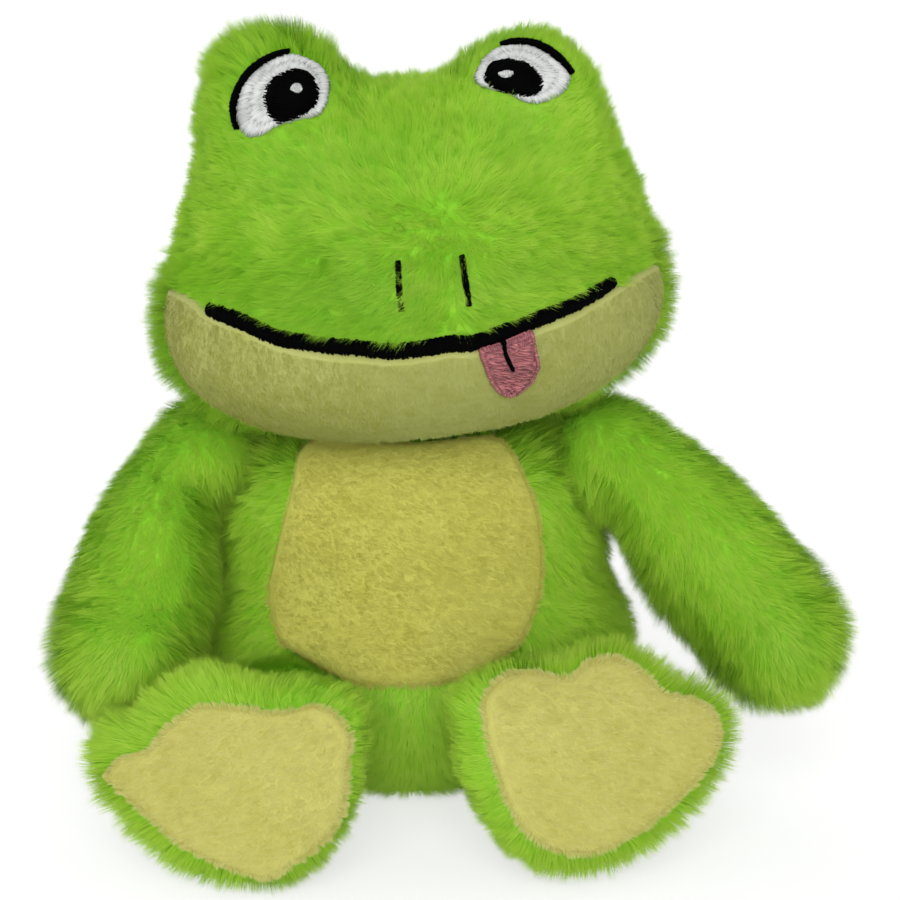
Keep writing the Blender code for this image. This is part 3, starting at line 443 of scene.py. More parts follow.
chin_outline = np.vstack([smooth_line(CHIN_TOP, 40), smooth_line(CHIN_BOTTOM, 40)[::-1]])
mouth_line = smooth_line(MOUTH, 60)
mouth_shares = 0.6 + 0.4 * np.sin(np.linspace(0, math.pi, 60)) ** 0.5
lid_shares = 0.45 + 0.55 * np.sin(np.linspace(0, math.pi, 24))
bare_places = [
    chin_outline,
    band_outline(mouth_line, mouth_shares, MOUTH_HALF_WIDTH, 0.5),
    smooth_line(TONGUE, 30, closed=True),
]
for side_name in SIDES:
    nostril, lid = smooth_line(NOSTRILS[side_name], 24), smooth_line(LIDS[side_name], 24)
    bare_places.append(smooth_line(EYE_WHITES[side_name], 40, closed=True))
    bare_places.append(band_outline(nostril, np.ones(24), NOSTRIL_HALF_WIDTH * 0.3))
    bare_places.append(band_outline(lid, lid_shares, LID_HALF_WIDTH * 0.8))


def head_gap(points):
    """How far points are from the nearest place on the head without long pile; below 0 on it."""
    angles = head_angles(points)
    return DEGREE * np.min([outside_by(outline, angles) for outline in bare_places], axis=0)


def fade(values, start, end):
    """A gentle slope from 0 where the values are at the start to 1 where they are at the end."""
    share = np.clip((values - start) / (end - start), 0, 1)
    return share * share * (3 - 2 * share)


def rippled(points, waves, dice, count=6):
    """A smooth random value between about -1 and 1 at each point, with so many waves a metre."""
    total = np.zeros(len(points))
    for _ in range(count):
        way = unit(dice.normal(size=3)) * waves * dice.uniform(0.6, 1.5)
        total += np.sin(points @ way * 2 * math.pi + dice.uniform(0, 2 * math.pi))
    return total / math.sqrt(count)


def pile_depths(shape, seed, relief=1):
    """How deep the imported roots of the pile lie: tufty under long pile, shallow at its edges."""
    dice = np.random.default_rng(seed)
    tufty = sum(depth * rippled(shape["points"], waves, dice) for depth, waves in PACKED_RELIEF)
    packed = PILE_SINK - PATCH_SINK + relief * tufty
    return PATCH_SINK + packed * fade(shape["gap"], 0, SINK_BAND)


def new_group(name, inputs, outputs):
    """A shader node group, the sockets that it is given and those that it puts out."""
    group = bpy.data.node_groups.new(name, "ShaderNodeTree")
    for way, sockets in (("INPUT", inputs), ("OUTPUT", outputs)):
        for label, kind in sockets.items():
            group.interface.new_socket(label, in_out=way, socket_type=f"NodeSocket{kind}")
    given = group.nodes.new("NodeGroupInput").outputs
    return group, given, group.nodes.new("NodeGroupOutput").inputs


def add_mix(tree, kind, factor, first, second):
    node = tree.nodes.new("ShaderNodeMix")
    node.data_type = "RGBA"
    node.blend_type = kind
    for socket, value in zip((node.inputs[0], *node.inputs[6:8]), (factor, first, second)):
        if isinstance(value, (int, float)):
            socket.default_value = value
        else:
            tree.links.new(value, socket)
    return node.outputs[2]


def material_from(name, group, values, roughness):
    """A material coloured by a group with these values, with the group's node and the shader."""
    material = bpy.data.materials.new(name)
    material.use_nodes = True
    tree = material.node_tree
    node = tree.nodes.new("ShaderNodeGroup")
    node.node_tree = group
    for label, value in values.items():
        node.inputs[label].default_value = value
    shader = tree.nodes["Principled BSDF"]
    shader.inputs["Roughness"].default_value = roughness
    tree.links.new(node.outputs["Colour"], shader.inputs["Base Color"])
    return material, node, shader


# Woven backing: fine crossing yarns and soft blotches, over the object's own coordinates
backing, given, result = new_group(
    "plush_backing",
    {"Colour": "Color", "Pale": "Color", "Yarns per metre": "Float"},
    {"Colour": "Color", "Height": "Float"},
)
where = backing.nodes.new("ShaderNodeTexCoord").outputs["Object"]
blotches = backing.nodes.new("ShaderNodeTexNoise")
blotches.inputs["Scale"].default_value = 90
blotches.inputs["Detail"].default_value = 4
yarns = backing.nodes.new("ShaderNodeTexNoise")
yarns.inputs["Detail"].default_value = 1
paleness = add_math(backing, "MULTIPLY_ADD", blotches.outputs["Fac"], 2.4, -0.7)
paleness = add_math(backing, "MINIMUM", add_math(backing, "MAXIMUM", paleness, 0.0), 1.0)
for source, socket in (
    (where, blotches.inputs["Vector"]),
    (where, yarns.inputs["Vector"]),
    (given["Yarns per metre"], yarns.inputs["Scale"]),
    (add_mix(backing, "MIX", paleness, given["Colour"], given["Pale"]), result["Colour"]),
    (yarns.outputs["Fac"], result["Height"]),
):
    backing.links.new(source, socket)


def cloth(name, colour, pale, yarns_per_metre=1500, roughness=0.9, bump=0.4):
    values = {"Colour": (*colour, 1), "Pale": (*pale, 1), "Yarns per metre": yarns_per_metre}
    material, weave, shader = material_from(name, backing, values, roughness)
    tree = material.node_tree
    relief = tree.nodes.new("ShaderNodeBump")
    relief.inputs["Strength"].default_value = bump
    relief.inputs["Distance"].default_value = 0.0003
    tree.links.new(weave.outputs["Height"], relief.inputs["Height"])
    tree.links.new(relief.outputs["Normal"], shader.inputs["Normal"])
    return material


green_backing = cloth(
    "green plush backing", (0.20, 0.54, 0.012), (0.29, 0.57, 0.028), yarns_per_metre=900, bump=0.6
)


def dress(shape, depths, body):
    """The stuffed cloth of one part, drawn in by these depths."""
    shape["cloth"] = points = sunk(shape, depths)
    piece = make_piece(
        shape["name"], points, shape["faces"], green_backing, body, shape["nodes"]
    )


ball_corners, ball_faces = round_mesh(BALL_LEVEL)
head_cores = np.broadcast_to(HEAD_MIDDLE, ball_corners.shape)
head = plush_shape("head_cloth", head_cores, ball_corners, ball_faces, HEAD_REACH, BODY_EASING)
head["gap"] = head_gap(head["points"])
head_ground = Ground(head, rays_to(HEAD_MIDDLE, HEAD_FRAME, HEAD_REACH), HEAD_REACH)
dress(head, pile_depths(head, 10), "head")


# Long green pile: soft polyester fibres some 8 mm long, knitted into the cloth and brushed. They
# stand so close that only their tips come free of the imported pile. Each strand here is a flat
# tapered lock of those tips, which leans the way the plush lies and gathers into tufts.

PIECE_STRANDS = 195000  # the most strands in one piece of pile
CLOSE_TO = 0.0003
STEEPEST = 84  # no strand leans further from the cloth's normal
TUFT = 26  # strands in a tuft
PILE_LENGTH = 0.0046
PILE_EDGE = 0.006  # beside a patch, over which the pile grows to its full length
PILE_DENSITY = 10.0  # strands to a square millimetre
PILE_OUTREACH = 0.77  # how far along the cloth a leaning strand reaches, to its length
LONG_PILE = {"lean": 50, "width": 0.000125, "pull": 0.27, "loose": 28}

# Pile colour from root to tip, with a tint for each lock, both read from the strand's own map
# Roots are darker and more saturated than tips: painted shade deep in the pile.
pile_shade, given, result = new_group(
    "pile_shade",
    {
        "Root": "Color",
        "Middle": "Color",
        "Tip": "Color",
        "Middle at": "Float",
        "Tint": "Float",
        "Paling": "Vector",
    },
    {"Colour": "Color"},
)
strand_map = pile_shade.nodes.new("ShaderNodeUVMap")
strand_map.uv_map = "OFBake"
parts = pile_shade.nodes.new("ShaderNodeSeparateXYZ")
pile_shade.links.new(strand_map.outputs[0], parts.inputs[0])
lock, height, _ = parts.outputs
lower = add_math(pile_shade, "DIVIDE", height, given["Middle at"])
lower = add_math(pile_shade, "MINIMUM", lower, 1.0)
beyond = add_math(pile_shade, "SUBTRACT", height, given["Middle at"])
whole = add_math(pile_shade, "SUBTRACT", 1.0, given["Middle at"])
upper = add_math(pile_shade, "MAXIMUM", add_math(pile_shade, "DIVIDE", beyond, whole), 0.0)
rooted = add_mix(pile_shade, "MIX", lower, given["Root"], given["Middle"])
tipped = add_mix(pile_shade, "MIX", upper, rooted, given["Tip"])
swing = add_math(pile_shade, "SUBTRACT", lock, 0.5)
swing = add_math(pile_shade, "MULTIPLY", swing, given["Tint"])
gain = pile_shade.nodes.new("ShaderNodeVectorMath")
gain.operation = "MULTIPLY_ADD"
pile_shade.links.new(swing, gain.inputs[0])
pile_shade.links.new(given["Paling"], gain.inputs[1])
gain.inputs[2].default_value = (1, 1, 1)
tinted = add_mix(pile_shade, "MULTIPLY", 1.0, tipped, gain.outputs[0])
pile_shade.links.new(tinted, result["Colour"])


def pile_material(
    name, root, middle, tip, middle_at=0.5, tint=0.5, roughness=0.7, sheen=0.4,
    paling=(0.5, 0.55, 1.6), specular=0.25,
):
    """Strands in three colours; tint is how much locks differ, and paling which way they do."""
    values = {
        "Root": (*root, 1),
        "Middle": (*middle, 1),
        "Tip": (*tip, 1),
        "Middle at": middle_at,
        "Tint": tint,
        "Paling": paling,
    }
    material, _, shader = material_from(name, pile_shade, values, roughness)
    shader.inputs["Specular IOR Level"].default_value = specular
    shader.inputs["Sheen Weight"].default_value = sheen
    shader.inputs["Sheen Roughness"].default_value = 0.45
    shader.inputs["Sheen Tint"].default_value = (*tip, 1)
    return material


green_pile = pile_material(
    "long green pile", (0.22, 0.57, 0.012), (0.28, 0.58, 0.020), (0.38, 0.62, 0.052),
    middle_at=0.45, tint=0.4, roughness=0.6, sheen=0.8, paling=(1.5, 0.7, 3.0),
)


def scattered(points, normals, faces, per_square_mm, dice):
    """Random places on a mesh with their normals, so many to each square millimetre."""
    a, b, c = points[faces[:, 0]], points[faces[:, 1]], points[faces[:, 2]]
    areas = np.linalg.norm(np.cross(b - a, c - a), axis=1) / 2
    total = np.cumsum(areas)
    count = int(total[-1] * 1e6 * per_square_mm)
    face = np.searchsorted(total, dice.random(count) * total[-1])
    u, v = dice.random((2, count, 1))
    over = u + v > 1
    u, v = np.where(over, 1 - u, u), np.where(over, 1 - v, v)
    spread = [1 - u - v, u, v]
    places = sum(points[faces[face, i]] * spread[i] for i in range(3))
    ups = unit(sum(normals[faces[face, i]] * spread[i] for i in range(3)))
    return places, ups


def gathered(places, dice):
    """For each place the index of the one that leads its tuft."""
    leaders = dice.choice(len(places), max(1, len(places) // TUFT), replace=False)
    tree = KDTree(len(leaders))
    for i, leader in enumerate(leaders):
        tree.insert(places[leader], i)
    tree.balance()
    return leaders[[tree.find(place)[1] for place in places]]


def grow(name, body, material, style, places, ups, flows, lengths, dice, paler=0):
    """Tapered strands in a style, in pieces called name_1, name_2 and so on.

    A strand leans by the style's angle where the flow is at full length, and is pulled towards
    the one that leads its tuft. Tufts lie loose by so many degrees, and paler shifts their tint.
    """
    count = len(places)
    leader = gathered(places, dice)
    loose = style["loose"]
    strength = np.linalg.norm(flows, axis=1)
    flows = unit(flows)
    swirl = dice.normal(0, 0.6 * loose, count) + dice.normal(0, 0.8 * loose, count)[leader]
    swirl = np.radians(swirl + 0.6 * loose * rippled(places, 45, dice))[:, None]
    flows = np.cos(swirl) * flows + np.sin(swirl) * np.cross(ups, flows)
    tilt = dice.normal(0, 0.35 * loose, count) + dice.normal(0, 0.25 * loose, count)[leader]
    uneven = 0.14 * dice.uniform(-1, 1, count) + 0.12 * dice.normal(size=count)[leader]
    lengths = (lengths * (1 + uneven))[:, None]
    lean = np.radians(np.clip(style["lean"] * strength + tilt, -STEEPEST, STEEPEST))[:, None]
    roots = places - ups * CLOSE_TO
    reaches = (np.cos(lean) * ups + np.sin(lean) * flows) * lengths
    tips = roots + reaches
    led = roots[leader] + reaches[leader] * (lengths / lengths[leader])
    tips = tips + (led - tips) * style["pull"]
    tips[:, 2] = np.maximum(tips[:, 2], CLOSE_TO)
    roll = np.radians(dice.uniform(-45, 45, count))[:, None]
    thick = style["width"] * dice.uniform(0.75, 1.25, count)[:, None]
    way = unit(tips - roots)
    side = unit(np.cross(way, ups))
    side = np.cos(roll) * side + np.sin(roll) * np.cross(way, side)
    facing = np.sum(way * ups, axis=1)[:, None]
    soft = unit(ups - way * facing * 0.4 + side * np.sin(roll) * 0.2)
    corners = np.stack([roots - side * thick / 2, roots + side * thick / 2, tips], 1)
    tint = 0.5 + 0.10 * rippled(places, 30, dice) + 0.10 * rippled(places, 110, dice) + paler
    tint = tint + dice.normal(0, 0.1, count) + dice.normal(0, 0.12, count)[leader]
    spots = np.clip(tint, 0.02, 0.96)[:, None] + [0, 0.02, 0.01]
    spots = np.stack([spots, np.broadcast_to([0.01, 0.01, 0.99], spots.shape)], -1)
    across, behind = (places - places.mean(axis=0))[:, :2].T
    order = np.argsort(np.arctan2(behind, across))
    pieces = math.ceil(count / PIECE_STRANDS)
    for number, chosen in enumerate(np.array_split(order, pieces), 1):
        label = f"{name}_{number}" if pieces > 1 else name
        ends = 3 * len(chosen)
        mesh = bpy.data.meshes.new(label)
        mesh.vertices.add(ends)
        mesh.vertices.foreach_set("co", corners[chosen].astype(np.float32).ravel())
        mesh.loops.add(ends)
        mesh.loops.foreach_set("vertex_index", np.arange(ends, dtype=np.int32))
        mesh.polygons.add(len(chosen))
        mesh.polygons.foreach_set("loop_start", np.arange(0, ends, 3, dtype=np.int32))
        mesh.update(calc_edges=True)
        mesh.shade_smooth()
        normals = mesh.attributes.new("custom_normal", "FLOAT_VECTOR", "POINT")
        shades = np.repeat(soft[chosen], 3, axis=0).astype(np.float32)
        normals.data.foreach_set("vector", shades.ravel())
        layer = mesh.uv_layers.new(name="OFBake")
        layer.data.foreach_set("uv", spots[chosen].astype(np.float32).ravel())
        mesh.materials.append(material)
        piece = bpy.data.objects.new(label, mesh)
        bpy.context.scene.collection.objects.link(piece)
        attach(piece, body)


def laid(ways, ups):
    """Ways, flattened onto the surface."""
    return unit(ways - ups * np.sum(ways * ups, axis=1)[:, None])


def shaped(lengths, flows, *zones):
    """Lengths and flows in zones: the share of each, how much longer and how far from lying."""
    for share, longer, upright in zones:
        lengths = lengths * (1 + longer * share)
        flows = flows * (1 - upright * share)[:, None]
    return lengths, flows


def clear_of(gap_at, places, gap, flows, lengths, least, most, dice):
    """Strand lengths cut back so that tips reach only so far over the places without long pile."""
    tip_gap = gap_at(places + flows * lengths[:, None] * PILE_OUTREACH)
    share = 0.5 + 0.35 * rippled(places, 170, dice) + 0.3 * dice.uniform(-1, 1, len(places))
    overhang = least + (most - least) * np.clip(share, 0, 1.3)
    allowed = np.clip((gap + overhang) / np.maximum(gap - tip_gap, 1e-6), 0.2, 1)
    return lengths * np.where(tip_gap < -overhang, allowed, 1)


# The head's pile parts at a whorl in front and falls behind. It stands up on the cheeks and on
# the crest of the right mound, is short under the chin, and is long round the neck.

WHORL = np.array((0.003, -0.020, -0.006))  # in the head's frame; the pile parts in front of it
FALLING_BACK = np.array((0, 0.15, -0.75))
NECK = np.array((0.0, -0.002, 0.101))
NECK_BALL = 0.0215

dice = np.random.default_rng(11)
places, ups = scattered(head["cloth"], head["normals"], ball_faces, PILE_DENSITY, dice)
gap = head_gap(places)
free = (gap > CLOSE_TO) & (np.linalg.norm(places - NECK, axis=1) > NECK_BALL)
places, ups, gap = places[free], ups[free], gap[free]
across, up = head_angles(places).T
sideways = np.abs(across)
away = places - HEAD_MIDDLE - WHORL @ HEAD_FRAME.T
beside = np.linalg.norm(away - ups * np.sum(away * ups, axis=1)[:, None], axis=1)
behind = fade(places[:, 1] - HEAD_MIDDLE[1], 0, 0.05)[:, None]
under = fade(up, -38, -50) * fade(sideways, 78, 66)
cheek = fade(sideways, 72, 80) * fade(sideways, 112, 92) * fade(up, 8, -4)
muzzle = fade(up, 12, -2) * fade(sideways, 70, 50)
crest = fade(places[:, 2], 0.181, 0.190) * fade(places[:, 0], -0.014, -0.024)
collar = fade(np.linalg.norm(places - NECK, axis=1), 0.036, 0.026)
flows = laid(unit(away) * (1 - 0.6 * behind) + FALLING_BACK * (0.12 + behind), ups)
lengths, flows = shaped(
    PILE_LENGTH * (0.7 + 0.3 * fade(gap, 0, PILE_EDGE)),
    flows,
    (fade(beside, 0.022, 0), 0, 0.1),
    (under, -0.45, 0),
    (cheek, 0.5, 0.7),
    (muzzle, 0.35, 0),
    (crest, 0.45, 0.3),
    (collar, 0.8, 0.4),
)
lengths = clear_of(head_gap, places, gap, flows, lengths, 0.0002, 0.0023, dice)
# Painted shade: the head's pile is tinted darker on the lower face, most on the frog's right, and
# darker down the frog's right side.
low = fade(up, 12, -4)
paler = -0.15 * low - 0.4 * low * fade(across, -4, -22) - 0.15 * fade(across, -12, -32)
paler = paler + (0.10 + 0.12 * fade(up, 30, 10)) * rippled(places, 75, dice)
grow(
    "head_pile", "head", green_pile, LONG_PILE,
    places, ups, flows, lengths, dice, paler,
)


# Chin: a wide panel of short cream pile, sewn to the green plush under the mouth. It is a thin
# cloth with its rim turned in, laid over the stuffed head, with its own fine pile.

PANEL_LIFT = 0.0016  # the panel's face above the CAD skin
PANEL_RIM = 0.0016  # over which the face rolls down to the seam
PANEL_DEPTH = 0.0010
PANEL_SINK = 0.0003  # of its rim, into the skin
SHORT_LENGTH = 0.0016
SHORT_EDGE = 0.0028  # over which the short pile stands out at a patch's edge
SHORT_DENSITY = 14.0
SHORT_PILE = {"lean": 58, "width": 0.00014, "pull": 0.18, "loose": 9}
CHIN_ROWS = 26
CHIN_COLUMNS = 150


def closed_patch(ground, grid, heights, round_about, depth):
    """Corners and faces of a thin closed cloth over a grid of places.

    Where round_about is true each row closes on itself and the first row is the patch's middle.
    """
    rows, columns = grid.shape[:2]
    top, normals = ground.at(grid.reshape(-1, 2), heights.reshape(-1))
    low = top - normals * (heights.reshape(-1, 1) + depth)
    size = rows * columns
    faces = []
    for row in range(rows - 1):
        for i in range(columns if round_about else columns - 1):
            a, b = row * columns + i, row * columns + (i + 1) % columns
            faces.append((a, b, b + columns, a + columns))
    under = [tuple(size + i for i in reversed(face)) for face in faces]
    last = [(rows - 1) * columns + i for i in range(columns)]
    if round_about:
        rim = last + last[:1]
        middle = [tuple(range(columns))[::-1], tuple(size + i for i in range(columns))]
    else:
        left = [row * columns for row in range(rows)]
        right = [first + columns - 1 for first in reversed(left)]
        rim = left + last[1:] + right[1:] + list(reversed(range(columns)))[1:]
        middle = []
    walls = [(b, a, a + size, b + size) for a, b in zip(rim, rim[1:])]
    return np.vstack([top, low]), faces + under + walls + middle, (top, normals, faces)


def make_patch(name, ground, grid, gap, round_about, material, body, node):
    """A patch of cloth that rolls down at its rim; its face's corners, normals and triangles."""
    share = np.clip(1 - gap / PANEL_RIM, 0, 1)
    heights = PANEL_LIFT * np.sqrt(1 - share**2) - PANEL_SINK
    points, faces, face = closed_patch(ground, grid, heights, round_about, PANEL_DEPTH)
    top, normals, quads = face
    a, b, c = (top[[quad[i] for quad in quads]] for i in range(3))
    if np.sum(np.cross(b - a, c - a) * normals[[quad[0] for quad in quads]]) < 0:
        faces, quads = ([each[::-1] for each in some] for some in (faces, quads))
    make_piece(name, points, faces, material, body, [node])
    quads = np.array(quads)
    return top, normals, np.vstack([quads[:, [0, 1, 2]], quads[:, [0, 2, 3]]])


def combed(places, way, dice, count=8):
    """Fine uneven streaks, a value between about -1 and 1, that change quickly along one way."""
    total = np.zeros(len(places))
    for _ in range(count):
        waves = way * dice.uniform(300, 800) + dice.normal(0, 90, 3)
        total += np.sin(2 * math.pi * (places @ waves) + dice.uniform(0, 2 * math.pi))
    return total / math.sqrt(count)


def short_pile(
    name, body, material, face, flow, way, seed, inside=None, middle=None, shade=None
):
    """Fine short pile over the face of a patch, brushed along the flow, in streaks across a way.

    Where a patch's edge is given it stands out over the edge, away from the middle, and is paler.
    """
    dice = np.random.default_rng(seed)
    places, ups = scattered(*face, SHORT_DENSITY, dice)
    flows = np.broadcast_to(np.asarray(flow, float), places.shape)
    edge = np.zeros(len(places))
    if inside is not None:
        edge = fade(inside(places), SHORT_EDGE, 0)
        flows = flows * (1 - edge[:, None]) + unit(places - middle) * edge[:, None] * 0.6
    flows = laid(flows, ups)
    streaks = combed(places, unit(way), dice)
    lengths = SHORT_LENGTH * (1 + 0.10 * streaks) * (1 + 0.2 * edge)
    paler = 0.18 * streaks + 0.22 * edge + (0 if shade is None else shade(places))
    grow(name, body, material, SHORT_PILE, places, ups, flows, lengths, dice, paler)


cream_backing = cloth("cream plush backing", (0.36, 0.38, 0.10), (0.40, 0.42, 0.13))
cream_pile = pile_material(
    "short cream pile", (0.30, 0.32, 0.062), (0.38, 0.40, 0.094), (0.44, 0.46, 0.128)
)
upper, lower = smooth_line(CHIN_TOP, CHIN_COLUMNS), smooth_line(CHIN_BOTTOM, CHIN_COLUMNS)
shares = np.linspace(0, 1, CHIN_ROWS)[:, None, None]
grid = upper * (1 - shares) + lower * shares
chin_gap = -DEGREE * outside_by(chin_outline, grid.reshape(-1, 2))
chin_face = make_patch(
    "chin", head_ground, grid, chin_gap, False, cream_backing, "head", "chin_panel"
)
# Painted shade: the chin's pile is tinted darker towards the frog's right.
short_pile(
    "chin_pile", "head", cream_pile, chin_face, (0.3, -0.2, -1), (0, 0, 1), 21,
    shade=lambda points: 0.12 - 0.5 * fade(head_angles(points)[:, 0], -10, -45),
)


# Mouth, nostrils, lids and tongue line: black satin stitch, one thread beside the other across a
# narrow band, over a thin underlay of the same thread.

THREAD = 0.00036  # spacing of the stitches
THREAD_STEPS = 5
THREAD_SECTION = ((-0.5, -0.2), (-0.28, 0.32), (0.28, 0.32), (0.5, -0.2))  # across and up
THREAD_DIVE = 0.0004  # of a stitch's two ends, into the cloth
UNDERLAY_DEPTH = 0.0015
SATIN = {  # how high each band lies on the head, and how much its threads bow up
    "mouth": (0.0012, 0.0006),
    "nostril": (0.0008, 0.0004),
    "lid": (0.0013, 0.0006),
    "tongue": (0.0034, 0.0004),
}


# Each stitch has its colour at the crown and the darker ends colour where it dives into the cloth:
# painted shade at both ends of every stitch.
def thread_material(name, colour, ends, tint, roughness, specular):
    return pile_material(
        name, ends, colour, ends, tint=tint, roughness=roughness, sheen=0, paling=(1, 1, 1),
        specular=specular,
    )


def stitched(starts, ends, lift, crown, thick, dice):
    """Corners, faces and map places of threads that run from starts to ends over the head."""
    count = len(starts)
    share = np.linspace(0, 1, THREAD_STEPS)
    places = starts[:, None] * (1 - share[:, None]) + ends[:, None] * share[:, None]
    points, normals = head_ground.at(places.reshape(-1, 2), 0)
    points = points.reshape(count, THREAD_STEPS, 3)
    normals = normals.reshape(count, THREAD_STEPS, 3)
    rise = lift + crown * np.sin(math.pi * share) ** 0.6 - (share[None] % 1 == 0) * THREAD_DIVE
    rise = rise + dice.normal(0, 0.00004, (count, 1))
    side = unit(np.cross(unit(np.gradient(points, axis=1)), normals))
    corners = [
        points + side * (across * thick) + normals * (rise + up * thick)[..., None]
        for across, up in THREAD_SECTION
    ]
    block = 4 * THREAD_STEPS
    pattern = []
    for first in range(0, block - 4, 4):
        for i in range(4):
            a, b = first + i, first + (i + 1) % 4
            pattern.append((a, b, b + 4, a + 4))
    pattern += [(3, 2, 1, 0), tuple(range(block - 4, block))]
    faces = (np.array(pattern)[None] + block * np.arange(count)[:, None, None]).reshape(-1, 4)
    tint = np.clip(0.5 + dice.normal(0, 0.16, count), 0.02, 0.96)
    u = tint[:, None, None] + np.array([0, 0.01, 0.02, 0.03]) + np.zeros((count, THREAD_STEPS, 4))
    v = share[None, :, None] * 0.9 + 0.05 + np.zeros_like(u)
    return np.stack(corners, 2).reshape(-1, 3), faces, np.stack([u, v], -1).reshape(-1, 2)


def embroider(name, node, runs, underlay, material):
    """One piece of embroidery on the head, from runs of threads over an underlay."""
    points, faces, _ = closed_patch(head_ground, *underlay, UNDERLAY_DEPTH)
    places = np.full((len(points), 2), 0.5) + np.linspace(0, 0.05, len(points))[:, None]
    for corners, threads, spots in runs:
        faces += [tuple(face) for face in (threads + len(points)).tolist()]
        points = np.vstack([points, corners])
        places = np.vstack([places, spots])
    mesh = make_piece(name, points, faces, material, "head", [node]).data
    loops = np.zeros(len(mesh.loops), dtype=np.int32)
    mesh.loops.foreach_get("vertex_index", loops)
    layer = mesh.uv_layers.new(name="OFBake")
    layer.data.foreach_set("uv", places[loops].astype(np.float32).ravel())
    shape = bmesh.new()
    shape.from_mesh(mesh)
    bmesh.ops.recalc_face_normals(shape, faces=shape.faces)
    shape.to_mesh(mesh)
    shape.free()


def satin_band(name, node, line, shares, half_width, lift, crown, dice):
    """A band of black satin stitch across a line of angles."""
    length = np.sum(np.linalg.norm(np.diff(line, axis=0), axis=1)) * DEGREE
    count = max(8, int(length / THREAD))
    line = smooth_line(line, count)
    shares = np.interp(np.linspace(0, 1, count), np.linspace(0, 1, len(shares)), shares)
    one, other = widened(line, shares * (1 + 0.14 * dice.uniform(-1, 1, count)), half_width)
    slant = np.vstack([other[1:], other[-1:]])
    run = stitched(one, slant, lift, crown, THREAD * 1.25, dice)
    steps = np.linspace(0.08, 0.92, 4)[:, None, None]
    grid = one * (1 - steps) + other * steps
    heights = np.full(grid.shape[:2], lift + crown * 0.6)
    heights[[0, -1]] = lift - 0.0002
    embroider(name, node, [run], (grid, heights, False), black_thread)


black_thread = thread_material(
    "black satin thread", (0.0016, 0.0016, 0.0018), (0.001, 0.001, 0.001), 0.6, 0.6, 0.01
)
dice = np.random.default_rng(31)
satin_band(
    "mouth", "mouth_line", mouth_line, mouth_shares, MOUTH_HALF_WIDTH, *SATIN["mouth"], dice
)
for side_name in SIDES:
    satin_band(
        f"nostril_stitches_{side_name}", f"nostril_{side_name}",
        smooth_line(NOSTRILS[side_name], 20), np.ones(20), NOSTRIL_HALF_WIDTH, *SATIN["nostril"],
        dice,
    )
    satin_band(
        f"lid_stitches_{side_name}", f"lid_line_{side_name}",
        smooth_line(LIDS[side_name], 24), lid_shares, LID_HALF_WIDTH, *SATIN["lid"], dice,
    )
satin_band(
    "tongue_stripe", "tongue_line", smooth_line(TONGUE_LINE, 12), np.ones(12),
    TONGUE_LINE_HALF_WIDTH, *SATIN["tongue"], dice,
)


# Eyes: white satin thread fanned out from the pupil, black satin laid straight across the pupil,
# and a small white glint. The tongue is filled up and down in pink, with a border round it.

WHITE_STITCHES = 190  # round each eye, in each of three rows from the pupil out
WHITE_ROWS = ((0.22, 0.55, 0.08, 0.8), (0.45, 0.8, 0.08, 0.9), (0.68, 1.0, 0.03, 1.0))
PUPIL_SLANTS = {"right": 20, "left": -14}
WHITE_LIFT = 0.0010
PUPIL_LIFT = 0.0017
GLINT_LIFT = 0.0024
TONGUE_LIFT = 0.0026
THREAD_DEGREES = THREAD / DEGREE


def scan(outline, spacing, slant):
    """Starts and ends of parallel stitches that fill an outline, so many degrees from level."""
    squeeze = squeeze_of(outline)
    spin = turn("z", slant)[:2, :2]
    level = (outline * squeeze) @ spin
    starts, ends = [], []
    for height in np.arange(level[:, 1].min() + spacing / 2, level[:, 1].max(), spacing):
        crossings = []
        for a, b in zip(level, np.roll(level, -1, axis=0)):
            if (a[1] > height) != (b[1] > height):
                crossings.append(a[0] + (b[0] - a[0]) * (height - a[1]) / (b[1] - a[1]))
        crossings.sort()
        for left, right in zip(crossings[::2], crossings[1::2]):
            starts.append((left, height))
            ends.append((right, height))
    return (np.array(starts) @ spin.T) / squeeze, (np.array(ends) @ spin.T) / squeeze


def underlay_of(outline, lift, rows=6):
    """A patch's rings from the middle of an outline out to it, and their heights."""
    middle = outline.mean(axis=0)
    shares = np.linspace(0.06, 0.97, rows)[:, None, None]
    grid = middle + (outline - middle) * shares
    heights = np.full(grid.shape[:2], lift)
    heights[-1] = lift - 0.0004
    return grid, heights, True


def ragged(points, middle, amount, dice):
    return middle + (points - middle) * (1 + amount * dice.uniform(-1, 1, (len(points), 1)))


